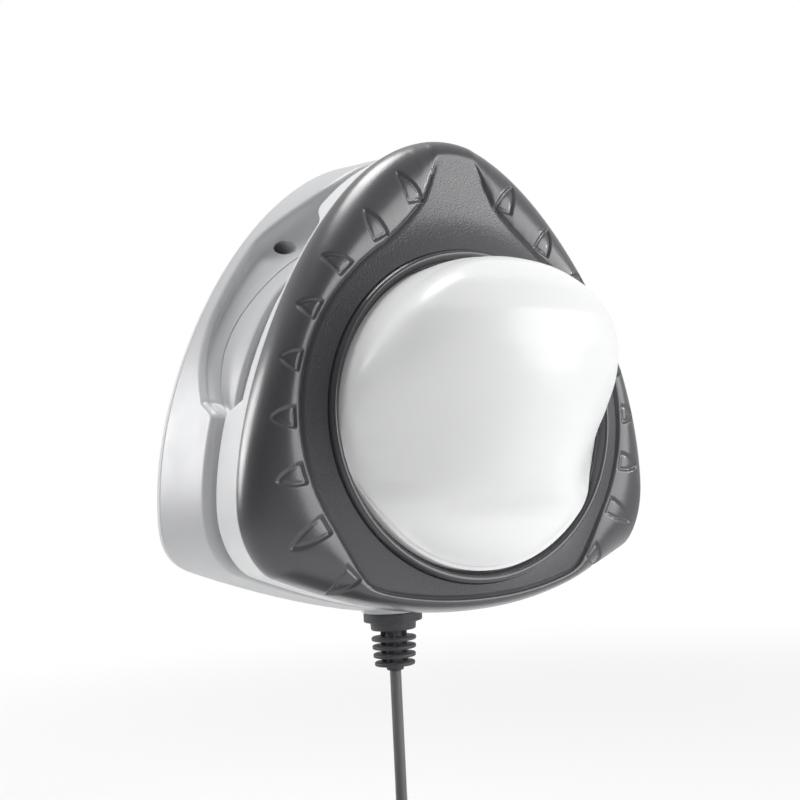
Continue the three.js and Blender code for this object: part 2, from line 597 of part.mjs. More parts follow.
// ---- Cord --------------------------------------------------------------------------------------
// Drop below the top of the relief, and radius: neck in the unit, two flanges, ribbed tail.
const RELIEF_RIBS = [[13.4, 12.2], [17.9, 11.9], [22.4, 11.6], [26.9, 11]];
const RIB_THICKNESS = 2;
const RELIEF_LENGTH = 31.6;
function strainRelief() {
  const neck = RELIEF_NECK_R;
  // How far below the body, and how wide: flange inside, neck, collar, step, then the ribs.
  const steps = [
    [-10.2, 0], [-10.2, 9.5], [-7.2, 9.5], [-7.2, neck], [0, neck], [0, 16], [5, 16], [5, 12.2],
    [9.6, 12.2], [9.6, neck],
  ];
  for (const [drop, radius] of RELIEF_RIBS) {
    const end = drop + RIB_THICKNESS;
    steps.push([drop, neck], [drop, radius], [end, radius], [end, neck]);
  }
  steps.push([RELIEF_LENGTH, neck], [RELIEF_LENGTH, 0]);
  const profile = steps.map(([drop, radius]) => [radius, -drop]).reverse();
  return turned(profile, 16).rotateX(Math.PI / 2);
}

// Centreline of the hanging stretch, down to the ground and up to the coil.
const CORD_RUN = [
  [0, 40, -131.5], [0, 40, -150], [0, 40, -170], [0, 40, -190], [0, 40, -210], [0, 40, -228],
  [0, 38.8, -238], [0, 35.2, -247.4], [0, 29, -255.2], [0, 21, -260.2], [0, 12, -261.6], [0, 4, -261.6],
  [0, -4, -261.6], [0, -11, -261.6],
];
// Centreline from the coil to the transformer.
const CORD_TAIL = [
  [-118, -11, -243.6], [-118, -3, -247], [-118, 6, -252], [-118, 15, -257], [-117.6, 24, -260.6],
  [-115, 35, -261.6], [-109, 44.5, -261], [-100, 51.4, -259.3], [-91.7, 53, -258.2],
];

function cordTube(route) {
  const curve = new THREE.CatmullRomCurve3(route.map((p) => new THREE.Vector3(...p)));
  const section = new THREE.Shape();
  section.absarc(0, 0, CORD_R, 0, Math.PI * 2);
  const steps = Math.round(curve.getLength() / (CORD_R * 2 * 2.2));
  const options = { extrudePath: curve, steps, curveSegments: 4, bevelEnabled: false };
  return new THREE.ExtrudeGeometry(section, options);
}

function cordCoil() {
  const halfWidth = COIL_COLUMNS * CORD_R;
  const height = COIL_LAYERS * CORD_R * 2;
  const [inner, outer] = [COIL_MEAN_R - halfWidth, COIL_MEAN_R + halfWidth];
  const corners = [
    [inner + CORD_R, 0], [outer - CORD_R, 0], [outer, CORD_R], [outer, height - CORD_R],
    [outer - CORD_R, height], [inner + CORD_R, height], [inner, height - CORD_R], [inner, CORD_R],
  ];
  const profile = [...corners, corners[0]];
  return turned(profile, 28).rotateX(Math.PI / 2);
}

function cordTie() {
  const halfWidth = COIL_COLUMNS * CORD_R + 0.5;
  const height = COIL_LAYERS * CORD_R * 2;
  const frame = (grow) => {
    const [x, low, high] = [halfWidth + grow, -0.4 - grow, height + 0.4 + grow];
    return [[-x, low], [x, low], [x, high], [-x, high]].map(([a, b]) => new THREE.Vector2(a, b));
  };
  const shape = new THREE.Shape(frame(TIE_THICKNESS));
  shape.holes.push(new THREE.Path(frame(0)));
  return new THREE.ExtrudeGeometry(shape, { depth: TIE_WIDTH, bevelEnabled: false })
    .translate(COIL_MEAN_R, 0, -TIE_WIDTH / 2).rotateX(Math.PI / 2);
}

function adapterBody() {
  const { left, right, front, back, height } = ADAPTER;
  const radius = 6;
  const [halfLength, halfDepth] = [(right - left) / 2, (back - front) / 2];
  const shape = new THREE.Shape();
  shape.absarc(halfLength - radius, halfDepth - radius, radius, 0, Math.PI / 2);
  shape.absarc(radius - halfLength, halfDepth - radius, radius, Math.PI / 2, Math.PI);
  shape.absarc(radius - halfLength, radius - halfDepth, radius, Math.PI, Math.PI * 1.5);
  shape.absarc(halfLength - radius, radius - halfDepth, radius, Math.PI * 1.5, Math.PI * 2);
  return new THREE.ExtrudeGeometry(shape, { depth: height, bevelEnabled: false, curveSegments: 4 });
}

function cordAndAdapter() {
  const { left, right, front, back, height, cordZ } = ADAPTER;
  place('strain_relief', strainRelief(), RUBBER, [0, PARTING_Y, RELIEF_TOP_Z]);
  place('cord_run', cordTube(CORD_RUN), CORD_GREY);
  place('cord_coil', cordCoil(), CORD_GREY, [...COIL_CENTRE, GROUND_Z + COIL_LIFT]);
  place('cord_tail', cordTube(CORD_TAIL), CORD_GREY);
  const tie = place('cord_tie', cordTie(), BLACK, [...COIL_CENTRE, GROUND_Z + COIL_LIFT]);
  tie.rotation.z = THREE.MathUtils.degToRad(-50);
  const middle = [(left + right) / 2, (front + back) / 2];
  place('adapter_body', adapterBody(), BLACK, [...middle, GROUND_Z]);
  const sleeve = [[0, 0], [4.2, 0], [6.2, 10], [6.2, ADAPTER.sleeve], [0, ADAPTER.sleeve]];
  const sleeveStart = left - GAP - ADAPTER.sleeve;
  place('adapter_relief', turned(sleeve, 14).rotateZ(-Math.PI / 2), RUBBER, [sleeveStart, middle[1], cordZ]);
  for (const side of [-1, 1]) {
    const name = side < 0 ? 'adapter_pin_left' : 'adapter_pin_right';
    const x = middle[0] + side * PIN.spacing / 2;
    place(name, bar(PIN.radius, 0, PIN.length, 0, 0, 12), NICKEL, [x, back + GAP, GROUND_Z + height / 2]);
  }
}

lampUnit();
wallUnit();
cordAndAdapter();

export default part;
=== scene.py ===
"""Looks for the magnetic pool-wall light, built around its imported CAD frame.

Lengths in this script are millimetres until a mesh is made, where MM turns them into metres.
+X is right seen from the lamp side, -Y is the way the lamp shines and +Z is up.
"""

import json
import math

import bmesh
import bpy
import numpy as np
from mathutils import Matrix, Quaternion, Vector


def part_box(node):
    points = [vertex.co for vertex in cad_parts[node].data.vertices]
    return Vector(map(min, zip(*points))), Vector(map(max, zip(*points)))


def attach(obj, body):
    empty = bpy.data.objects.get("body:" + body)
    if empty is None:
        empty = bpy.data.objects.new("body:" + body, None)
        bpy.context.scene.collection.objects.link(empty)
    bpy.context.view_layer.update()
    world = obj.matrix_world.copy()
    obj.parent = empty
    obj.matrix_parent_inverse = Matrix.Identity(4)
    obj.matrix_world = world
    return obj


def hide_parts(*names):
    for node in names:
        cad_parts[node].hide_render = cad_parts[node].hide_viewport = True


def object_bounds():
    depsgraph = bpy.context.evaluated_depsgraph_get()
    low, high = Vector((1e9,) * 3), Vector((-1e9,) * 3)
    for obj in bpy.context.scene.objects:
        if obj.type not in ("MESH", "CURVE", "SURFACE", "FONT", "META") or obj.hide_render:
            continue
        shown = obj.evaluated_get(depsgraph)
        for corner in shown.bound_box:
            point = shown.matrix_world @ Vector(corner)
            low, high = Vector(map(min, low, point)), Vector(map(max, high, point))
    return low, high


MM = 0.001
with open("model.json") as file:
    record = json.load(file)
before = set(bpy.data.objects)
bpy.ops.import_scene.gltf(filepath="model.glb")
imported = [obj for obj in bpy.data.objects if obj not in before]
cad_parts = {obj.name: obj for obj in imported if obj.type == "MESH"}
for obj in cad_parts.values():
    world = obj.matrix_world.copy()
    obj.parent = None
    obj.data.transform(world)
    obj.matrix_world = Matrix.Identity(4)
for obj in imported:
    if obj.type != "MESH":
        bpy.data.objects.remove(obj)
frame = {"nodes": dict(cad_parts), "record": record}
cad_low, cad_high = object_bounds()


def box_mm(node):
    """Lowest and highest corner of a CAD node, in millimetres."""
    low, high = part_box(node)
    return np.array(low) / MM, np.array(high) / MM


def new_object(name, data):
    made = bpy.data.objects.new(name, data)
    bpy.context.scene.collection.objects.link(made)
    return made


def look_along(thing, direction, roll=0.0):
    thing.rotation_mode = "QUATERNION"
    thing.rotation_quaternion = direction.to_track_quat("-Z", "Y") @ Quaternion((0, 0, 1), roll)


# ---- Camera --------------------
CAMERA_AZIMUTH = math.radians(-33.3)
CAMERA_ELEVATION = math.radians(-3.5)
CAMERA_ROLL = math.radians(-3)
CAMERA_DISTANCE = 0.53146
CAMERA_AIM = Vector((0, -0.0365, -0.002))


def make_camera():
    data = bpy.data.cameras.new("camera")
    data.sensor_width = 36
    data.lens = 48.47
    data.shift_x = -0.0745
    data.shift_y = 0.0279
    data.clip_start = 0.01
    camera = new_object("camera", data)
    level = math.cos(CAMERA_ELEVATION)
    back = Vector((
        math.sin(CAMERA_AZIMUTH) * level,
        -math.cos(CAMERA_AZIMUTH) * level,
        math.sin(CAMERA_ELEVATION),
    ))
    camera.location = CAMERA_AIM + back * CAMERA_DISTANCE
    look_along(camera, -back, CAMERA_ROLL)
    bpy.context.scene.camera = camera


# ---- Shaping helpers --------------------
def smooth(low, high, value):
    """0 below low, 1 above high, and an easy curve between them."""
    t = np.clip((np.asarray(value, float) - low) / (high - low), 0, 1)
    return t * t * (3 - 2 * t)


def mix(a, b, share):
    return a + (b - a) * share


def soft_max(a, b, sharpness):
    """The larger of two, with a rounded crossing."""
    return (np.maximum(a, 0) ** sharpness + np.maximum(b, 0) ** sharpness) ** (1 / sharpness)


def soft_min(a, b, sharpness):
    """The smaller of two, with a rounded crossing."""
    small = 1e-6
    return (np.maximum(a, small) ** -sharpness + np.maximum(b, small) ** -sharpness) ** (-1 / sharpness)


def bezier(p0, p1, p2, p3, count):
    t = np.linspace(0, 1, count)[:, None]
    p0, p1, p2, p3 = (np.array(p, float) for p in (p0, p1, p2, p3))
    return p0 * (1 - t) ** 3 + 3 * p1 * t * (1 - t) ** 2 + 3 * p2 * t * t * (1 - t) + p3 * t ** 3


def circle(radius, count):
    """The two coordinates of evenly spaced points round a circle."""
    angles = np.linspace(0, 2 * math.pi, count, endpoint=False)
    return radius * np.cos(angles), radius * np.sin(angles)


def rotated(x, y, angle):
    return x * math.cos(angle) - y * math.sin(angle), x * math.sin(angle) + y * math.cos(angle)


def evenly(points, count):
    """The same open line, with points at equal steps along it."""
    steps = np.linalg.norm(np.diff(points, axis=0), axis=1)
    along = np.concatenate([[0], np.cumsum(steps)])
    wanted = np.linspace(0, along[-1], count)
    return np.stack([np.interp(wanted, along, points[:, k]) for k in range(points.shape[1])], 1)


def curve_through(points, steps):
    """A Catmull-Rom curve through points, which may themselves be whole rings of points."""
    points = [np.asarray(p, float) for p in points]
    last = len(points) - 1
    made = []
    for k in range(last):
        p0, p1, p2, p3 = points[max(k - 1, 0)], points[k], points[k + 1], points[min(k + 2, last)]
        for s in range(steps):
            t = s / steps
            made.append(0.5 * (
                2 * p1 + (p2 - p0) * t
                + (2 * p0 - 5 * p1 + 4 * p2 - p3) * t ** 2
                + (3 * p1 - p0 - 3 * p2 + p3) * t ** 3
            ))
    made.append(points[last])
    return made


def filleted(points, radius, steps=4, closed=False):
    """A polyline with its corners rounded."""
    points = [np.array(p, float) for p in points]
    count = len(points)
    made = []
    for k, corner in enumerate(points):
        if not closed and k in (0, count - 1):
            made.append(corner)
            continue
        sides = [points[k - 1] - corner, points[(k + 1) % count] - corner]
        lengths = [np.linalg.norm(side) for side in sides]
        reach = min(radius, 0.45 * lengths[0], 0.45 * lengths[1])
        start, end = (corner + side / length * reach for side, length in zip(sides, lengths))
        for s in range(steps + 1):
            t = s / steps
            made.append(start * (1 - t) ** 2 + 2 * corner * t * (1 - t) + end * t * t)
    return made


# ---- Mesh helpers --------------------
SHARP_ANGLE = 35  # degrees: edges that turn by more are shaded as sharp
AXIS_GAP = 0.1  # a profile that starts on the axis is held this far off it, and a fan closes it
SLIVER = 0.01  # points closer than this are one point


def shade_smooth(mesh, sharp_angle=SHARP_ANGLE):
    mesh.polygons.foreach_set("use_smooth", [True] * len(mesh.polygons))
    mesh.set_sharp_from_angle(angle=math.radians(sharp_angle))
    mesh.update()


def add_mesh(name, shape, at=(0, 0, 0), sharp_angle=SHARP_ANGLE):
    """A new object from (points, faces) in millimetres, moved by at, with its faces pointing outwards."""
    points, faces = shape
    mesh = bpy.data.meshes.new(name)
    mesh.from_pydata(((points + np.array(at)) * MM).tolist(), [], faces)
    mesh.validate()
    if inside_out(mesh):
        mesh.flip_normals()
    shade_smooth(mesh, sharp_angle)
    return new_object(name, mesh)


def inside_out(mesh):
    def read(kind, width=1):
        values = np.zeros(len(mesh.polygons) * width)
        mesh.polygons.foreach_get(kind, values)
        return values.reshape(-1, width)

    return (read("normal", 3) * read("center", 3) * read("area")).sum() < 0


def skinned(rings, loops=False):
    """Points and faces of a stack of rings. It closes on itself, or gets a fan at each end."""
    rings = [np.asarray(r, float) for r in rings]
    count = len(rings[0])
    points = np.concatenate(rings)
    around = np.arange(count)
    beside = (around + 1) % count
    faces = []
    for k in range(len(rings) if loops else len(rings) - 1):
        near = k * count
        far = (k + 1) % len(rings) * count
        faces.append(np.stack([near + around, near + beside, far + beside, far + around], 1))
    faces = np.concatenate(faces).tolist()
    if not loops:
        for start, flip in ((0, True), ((len(rings) - 1) * count, False)):
            hub = len(points)
            points = np.concatenate([points, points[start:start + count].mean(0)[None]])
            pairs = zip((start + around).tolist(), (start + beside).tolist())
            faces += [[hub, b, a] if flip else [hub, a, b] for a, b in pairs]
    return points, faces


def turned(profile, segments=96, axis="y"):
    """A lathe piece: (radius, height) pairs that close on themselves or on the axis."""
    rings = []
    for radius, height in profile:
        a, b = circle(max(radius, AXIS_GAP), segments)
        h = np.full(segments, float(height))
        rings.append(np.stack({"x": (h, a, b), "y": (a, h, b), "z": (a, b, h)}[axis], 1))
    return rings


def merged(*shapes):
    """Several (points, faces) bodies as one."""
    faces = []
    offset = 0
    for points, own_faces in shapes:
        faces += [[i + offset for i in face] for face in own_faces]
        offset += len(points)
    return np.concatenate([points for points, _ in shapes]), faces


def drop_slivers(mesh):
    """Merges points that all but touch after a boolean, and drops the faces that collapse or double up."""
    work = bmesh.new()
    work.from_mesh(mesh)
    bmesh.ops.remove_doubles(work, verts=work.verts, dist=SLIVER * MM)
    bmesh.ops.dissolve_degenerate(work, dist=SLIVER * MM, edges=work.edges)
    by_corners = {}
    for face in work.faces:
        by_corners.setdefault(frozenset(face.verts), []).append(face)
    doubled = [face for faces in by_corners.values() if len(faces) > 1 for face in faces]
    bmesh.ops.delete(work, geom=doubled, context="FACES")
    bmesh.ops.holes_fill(work, edges=[edge for edge in work.edges if edge.is_boundary], sides=8)
    work.to_mesh(mesh)
    work.free()


def cut_or_join(target, tools, operation):
    """Applies booleans with closed tool objects, then removes the tools."""
    for tool in tools:
        step = target.modifiers.new("step", "BOOLEAN")
        step.operation = operation
        step.solver = "EXACT"
        step.object = tool
    graph = bpy.context.evaluated_depsgraph_get()
    made = bpy.data.meshes.new_from_object(target.evaluated_get(graph))
    drop_slivers(made)
    target.modifiers.clear()
    target.data = made
    shade_smooth(made)
    for tool in tools:
        bpy.data.objects.remove(tool)


def rod(radius, y0, y1, x, z):
    """A closed round bar along Y, as a boolean tool."""
    return add_mesh("tool", skinned(turned([(radius, y0), (radius, y1)], 40)), (x, 0, z))


def finished(piece, slot, body, *stands_for):
    """Gives a piece its slot with the slot's material and its body, and hides the CAD nodes it stands for.
    """
    piece.data.materials.clear()
    piece.data.materials.append(MATERIALS[slot])
    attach(piece, body)
    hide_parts(*stands_for)


# ---- Materials --------------------
MATERIALS = {}


class Nodes:
    """A node tree, with a short call that adds to it."""

    def __init__(self, tree):
        self.tree = tree

    def add(self, kind, output, inputs=None, **settings):
        """A new node's output. Each input is a value, or the output that feeds it."""
        node = self.tree.nodes.new(kind)
        for key, value in settings.items():
            setattr(node, key, value)
        for key, value in (inputs or {}).items():
            if isinstance(value, bpy.types.NodeSocket):
                self.tree.links.new(value, node.inputs[key])
            else:
                node.inputs[key].default_value = value
        return node.outputs[output]


class Finish(Nodes):
    """A new material, with short calls for what the finishes below share."""

    def __init__(self, name, colour, roughness):
        material = bpy.data.materials.new(name)
        material.use_nodes = True
        super().__init__(material.node_tree)
        self.shader = self.tree.nodes["Principled BSDF"]
        self.set(Base_Color=(*colour, 1), Roughness=roughness)
        self.colour = colour
        self.roughness = roughness
        self.place = self.add("ShaderNodeTexCoord", "Object")
        MATERIALS[name] = material

    def set(self, **values):
        for key, value in values.items():
            self.shader.inputs[key.replace("_", " ")].default_value = value

    def feed(self, name, source):
        self.tree.links.new(source, self.shader.inputs[name])

    def noise(self, size_mm, detail=2.0, stretch=None):
        """A noise whose features are about size_mm across."""
        place = self.place
        if stretch:
            place = self.add("ShaderNodeMapping", "Vector", {"Scale": stretch, "Vector": place})
        inputs = {"Scale": 1 / (size_mm * MM), "Detail": detail, "Vector": place}
        return self.add("ShaderNodeTexNoise", "Fac", inputs)

    def pattern(self, kind, scale, output="Fac", **settings):
        return self.add(kind, output, {"Scale": scale, "Vector": self.place}, **settings)

    def ranged(self, value, low, high):
        """The middle of a noise, spread from low to high."""
        inputs = {"From Min": 0.3, "From Max": 0.7, "To Min": low, "To Max": high, "Value": value}
        return self.add("ShaderNodeMapRange", "Result", inputs)

    def bump(self, height, depth_mm):
        """Adds a relief of about depth_mm on top of any bump made before."""
        inputs = {"Strength": 1, "Distance": depth_mm * MM, "Height": height}
        before = self.shader.inputs["Normal"].links
        if before:
            inputs["Normal"] = before[0].from_socket
        self.feed("Normal", self.add("ShaderNodeBump", "Normal", inputs))

    def vary_roughness(self, size_mm, spread):
        low, high = self.roughness - spread, self.roughness + spread
        self.feed("Roughness", self.ranged(self.noise(size_mm), low, high))

    def vary_colour(self, size_mm, spread):
        """Lightens and darkens the colour by the share spread."""
        dark, light = ((*(c * (1 + s) for c in self.colour), 1) for s in (-spread, spread))
        share = self.ranged(self.noise(size_mm), 0, 1)
        mixed = self.add("ShaderNodeMix", 2, {0: share, 6: dark, 7: light}, data_type="RGBA")
        self.feed("Base Color", mixed)


# Injection-moulded and other plastics: colour, roughness, size and depth of the grain, and how much
# the gloss varies.
PLASTICS = {
    "dark_cover": ((0.062, 0.062, 0.07), 0.36, 0.9, 0.012, 0.05),
    "lens_ring": ((0.055, 0.055, 0.062), 0.2, 1.2, 0.006, 0.03),
    "white_shell": ((0.86, 0.865, 0.875), 0.33, 1.6, 0.005, 0.03),
    "grey_shell": ((0.64, 0.645, 0.66), 0.34, 1.6, 0.005, 0.03),
    "white_cover": ((0.82, 0.83, 0.84), 0.33, 1.6, 0.005, 0.03),
    "seal": ((0.05, 0.05, 0.055), 0.6, 0.7, 0.02, 0.05),
    "relief_rubber": ((0.06, 0.06, 0.066), 0.5, 0.6, 0.03, 0.06),
    "cord": ((0.15, 0.15, 0.16), 0.5, 0.5, 0.02, 0.06),
    "tie": ((0.03, 0.03, 0.03), 0.7, 0.5, 0.05, 0.08),
    "adapter_plastic": ((0.028, 0.028, 0.03), 0.45, 0.35, 0.07, 0.05),
    "black_plastic": ((0.03, 0.03, 0.03), 0.4, 0.4, 0.03, 0.05),
    "circuit_board": ((0.02, 0.10, 0.045), 0.35, 1.0, 0.01, 0.05),
    "ferrite": ((0.06, 0.06, 0.065), 0.75, 0.4, 0.06, 0.05),
    "led": ((0.93, 0.85, 0.35), 0.22, 1.0, 0.01, 0.03),
}
FLOW_MARK_SIZE = 40
PLASTIC_GLOSS_SIZE = 18
# Metals: colour, roughness, and the size and strength of the gloss's patches.
METALS = {
    "heat_spreader": ((0.80, 0.80, 0.81), 0.38, 6, 0.06),
    "copper_winding": ((0.72, 0.33, 0.18), 0.36, 8, 0.06),
    "plated_metal": ((0.75, 0.76, 0.77), 0.2, 5, 0.05),
    "screw_steel": ((0.60, 0.60, 0.61), 0.36, 2, 0.06),
}


def make_materials():
    made = {}
    for name, (colour, roughness, grain_size, grain_depth, spread) in PLASTICS.items():
        made[name] = Finish(name, colour, roughness)
        made[name].vary_colour(FLOW_MARK_SIZE, spread * 0.5)
        made[name].vary_roughness(PLASTIC_GLOSS_SIZE, spread)
        made[name].bump(made[name].noise(grain_size), grain_depth)
    for name, (colour, roughness, patch_size, spread) in METALS.items():
        made[name] = Finish(name, colour, roughness)
        made[name].set(Metallic=1)
        made[name].vary_roughness(patch_size, spread)

    cover = made["dark_cover"]
    strength = cover.add("ShaderNodeAttribute", "Fac", attribute_name="grain")
    grain = {0: cover.noise(0.9, 1.0), 1: strength}
    cover.bump(cover.add("ShaderNodeMath", 0, grain, operation="MULTIPLY"), 0.3)
    cover.set(Coat_Weight=0.8, Coat_Roughness=0.24)
    made["lens_ring"].set(Coat_Weight=0.4, Coat_Roughness=0.08)
    made["led"].set(Coat_Weight=0.5)
    made["relief_rubber"].set(Sheen_Weight=0.1)
    cord, tie, board = made["cord"], made["tie"], made["circuit_board"]
    cord.bump(cord.noise(5), 0.05)
    weave = tie.pattern("ShaderNodeTexWave", 400, wave_type="BANDS", bands_direction="DIAGONAL")
    tie.bump(weave, 0.1)
    board.bump(board.pattern("ShaderNodeTexBrick", 110), 0.05)
    winding, sheet = made["copper_winding"], made["heat_spreader"]
    turns = winding.pattern("ShaderNodeTexWave", 500, wave_type="RINGS", rings_direction="Y")
    winding.bump(turns, 0.2)
    sheet.bump(sheet.noise(0.5, stretch=(1, 1, 12)), 0.01)
    plated, steel = made["plated_metal"], made["screw_steel"]
    plated.bump(plated.noise(0.4), 0.005)
    steel.bump(steel.noise(0.3, stretch=(1, 6, 1)), 0.01)

    dome = Finish("opal_dome", (0.80, 0.805, 0.81), 0.3)
    dome.vary_roughness(30, 0.02)
    dome.bump(dome.noise(14), 0.02)
    dome.set(Subsurface_Weight=0.25, Subsurface_Scale=0.006, Subsurface_Radius=(1, 1, 1))
    # The emission is painted light: the dome glows faintly, though the lamp is off, so that it looks
    # brighter than the studio lights alone make it.
    dome.set(Coat_Weight=0.12, Coat_Roughness=0.2, Emission_Color=(1, 1, 1, 1), Emission_Strength=0.14)
    pad = Finish("pad", (0.52, 0.53, 0.55), 0.62)
    pad.vary_colour(9, 0.04)
    pad.bump(pad.pattern("ShaderNodeTexVoronoi", 1 / (1.4 * MM), "Distance"), 0.25)


def dress_cad_nodes():
    """Every CAD node gets the material of its slot; some are replaced by finer pieces below."""
    for row in frame["record"]["subparts"]:
        node = frame["nodes"][row["node"]]
        node.data.materials.clear()
        node.data.materials.append(MATERIALS[row["material_slot"]])


# ---- Cord --------------------
CORD_RUN = [
    *[(0, 40, z) for z in (-131.5, -150, -170, -190, -210, -228)],
    (0, 38.8, -238), (0, 35.2, -247.4), (0, 29, -255.2), (0, 21, -260.2), (0, 12, -261.6), (0, 4, -261.6),
    (0, -4, -261.6), (0, -11, -261.6),
]
CORD_TAIL = [
    (-118, -11, -243.6), (-118, -3, -247), (-118, 6, -252), (-118, 15, -257), (-117.6, 24, -260.6),
    (-115, 35, -261.6), (-109, 44.5, -261), (-100, 51.4, -259.3), (-91.7, 53, -258.2),
]
CORD_RADIUS = 3.1
CORD_STEPS = 5  # points from one of the places above to the next
BRIDGE_STEPS = 8  # points in each join between the coil and the rest
COIL_COLUMNS = 6
COIL_LAYERS = 4
COIL_STEPS = 48  # points in one turn
SHIFT_WINDOW = 0.22  # share of a turn over which it moves to the next column or layer


def coil_points():
    """Turns wound clockwise seen from above, column by column and layer by layer."""
    low, high = box_mm("cord_coil")
    centre = (low + high) / 2
    pitch = 2 * CORD_RADIUS
    outermost = (high[0] - low[0]) / 2 - CORD_RADIUS
    columns = [outermost - pitch * k for k in range(COIL_COLUMNS)]
    lanes = []
    for layer in range(COIL_LAYERS):
        order = columns if layer % 2 == 0 else columns[::-1]
        lanes += [(radius, low[2] + CORD_RADIUS + pitch * layer) for radius in order]
    points = []
    for step in range(int((len(lanes) - 0.5) * COIL_STEPS) + 1):
        turn = step // COIL_STEPS
        share = step / COIL_STEPS - turn
        here = np.array(lanes[turn])
        following = np.array(lanes[min(turn + 1, len(lanes) - 1)])
        radius, z = mix(here, following, smooth(1 - SHIFT_WINDOW, 1, share))
        angle = -2 * math.pi * step / COIL_STEPS
        points.append((centre[0] + radius * math.cos(angle), centre[1] + radius * math.sin(angle), z))
    return points


def bridged(*ends):
    """The middle stretch of a curve through four points."""
    return curve_through(ends, BRIDGE_STEPS)[BRIDGE_STEPS + 1:2 * BRIDGE_STEPS]


def make_cord(with_pieces):
    run = curve_through(CORD_RUN, CORD_STEPS)
    tail = curve_through(CORD_TAIL, CORD_STEPS)
    coil = coil_points()
    into_coil = bridged(run[-6], run[-1], coil[0], coil[6])
    out_of_coil = bridged(coil[-7], coil[-1], tail[0], tail[5])
    route = [*run, *into_coil, *coil, *out_of_coil, *tail]
    data = bpy.data.curves.new("cord", "CURVE")
    data.dimensions = "3D"
    data.bevel_depth = CORD_RADIUS * MM
    data.bevel_resolution = 3
    data.use_fill_caps = True
    spline = data.splines.new("POLY")
    spline.points.add(len(route) - 1)
    for point, place in zip(spline.points, route):
        point.co = (*(np.array(place) * MM), 1)
    spline.use_smooth = True
    piece = new_object("cord", data)
    finished(piece, "cord", "wall_unit", "cord_run", "cord_coil", "cord_tail")


TIE_WIDTH = 5
TIE_THICKNESS = 1.2
TIE_CORNER_R = 3.2
TIE_ANGLE = math.radians(-50)  # where on the coil the strap is
LAP_THICKNESS = 0.9
LAP_SIDE_GAP = 0.3


def make_tie():
    """A strap round the coil, with its free end lapped over the top."""
    low, high = box_mm("cord_coil")
    centre = (low + high) / 2
    half = COIL_COLUMNS * CORD_RADIUS + 0.5
    mean = (high[0] - low[0]) / 2 - COIL_COLUMNS * CORD_RADIUS
    bottom, top = -0.4, COIL_LAYERS * 2 * CORD_RADIUS + 0.4

    def loop(grow):
        x0, x1, z0, z1 = -half - grow, half + grow, bottom - grow, top + grow
        return filleted([(x0, z0), (x1, z0), (x1, z1), (x0, z1)], TIE_CORNER_R, 6, closed=True)

    def across(line, y):
        return np.array([(x, y, z) for x, z in line])

    inner, outer = loop(0), loop(TIE_THICKNESS)
    side = TIE_WIDTH / 2
    edges = ((inner, -side), (inner, side), (outer, side), (outer, -side))
    band = skinned([across(line, y) for line, y in edges], loops=True)
    under = np.array([(-8, 0), (0, 0), (9, 0), (15, 0.1)]) + np.array([0, top + TIE_THICKNESS])
    lap_line = [*under, *(under + np.array([0, LAP_THICKNESS]))[::-1]]
    lap = skinned([across(lap_line, y) for y in (LAP_SIDE_GAP - side, side - LAP_SIDE_GAP)])
    points, faces = merged(band, lap)
    x, y = rotated(points[:, 0] + mean, points[:, 1], TIE_ANGLE)
    placed = np.stack([x, y, points[:, 2]], 1)
    strap = add_mesh("strap", (placed, faces), (centre[0], centre[1], low[2]))
    finished(strap, "tie", "wall_unit", "cord_tie")
    return strap


def rounded_rectangle(width, height, radius, steps=8):
    """Corner arcs joined by straight sides, centred on zero."""
    made = []
    for k, (right, up) in enumerate(((1, 1), (-1, 1), (-1, -1), (1, -1))):
        x, y = right * (width / 2 - radius), up * (height / 2 - radius)
        for s in range(steps + 1):
            angle = (k + s / steps) * math.pi / 2
            made.append((x + radius * math.cos(angle), y + radius * math.sin(angle)))
    return np.array(made)


ADAPTER_CORNER_R = 6.0
ADAPTER_FRONT_EDGE = 3.0
ADAPTER_BACK_EDGE = 1.4
ADAPTER_PARTING = 0.62  # share of the depth
PARTING_GROOVE = 0.5
PLUG_FACE_HEIGHT = 0.6


def make_adapter():
    """The plug-in transformer: two half shells meeting in a groove, and a raised plug face."""
    low, high = box_mm("adapter_body")
    size = high - low
    x, _, z = (low + high) / 2
    rings = []

    def ring(y, shrunk):
        corner = max(ADAPTER_CORNER_R - shrunk, 1.5)
        line = rounded_rectangle(size[0] - 2 * shrunk, size[2] - 2 * shrunk, corner)
        rings.append(at_depth(line, y))

    quarter = np.linspace(0, math.pi / 2, 7)
    for turn in quarter[::-1]:
        in_from_face = ADAPTER_FRONT_EDGE * (1 - math.sin(turn))
        ring(low[1] + in_from_face, ADAPTER_FRONT_EDGE * (1 - math.cos(turn)))
    groove = ((0.7, 0), (0.4, 0.15), (0.35, PARTING_GROOVE))
    for side, shrunk in (*((-y, shrunk) for y, shrunk in groove), *groove[::-1]):
        ring(low[1] + size[1] * ADAPTER_PARTING + side, shrunk)
    back = high[1] - PLUG_FACE_HEIGHT - ADAPTER_BACK_EDGE
    for turn in quarter:
        ring(back + ADAPTER_BACK_EDGE * math.sin(turn), ADAPTER_BACK_EDGE * (1 - math.cos(turn)))
    for drop, shrunk in ((PLUG_FACE_HEIGHT, 9), (0.3, 9.4), (0, 10)):
        ring(high[1] - drop, shrunk)
    case = add_mesh("adapter_case", skinned(rings), (x, 0, z))
    finished(case, "adapter_plastic", "wall_unit", "adapter_body")
    return case


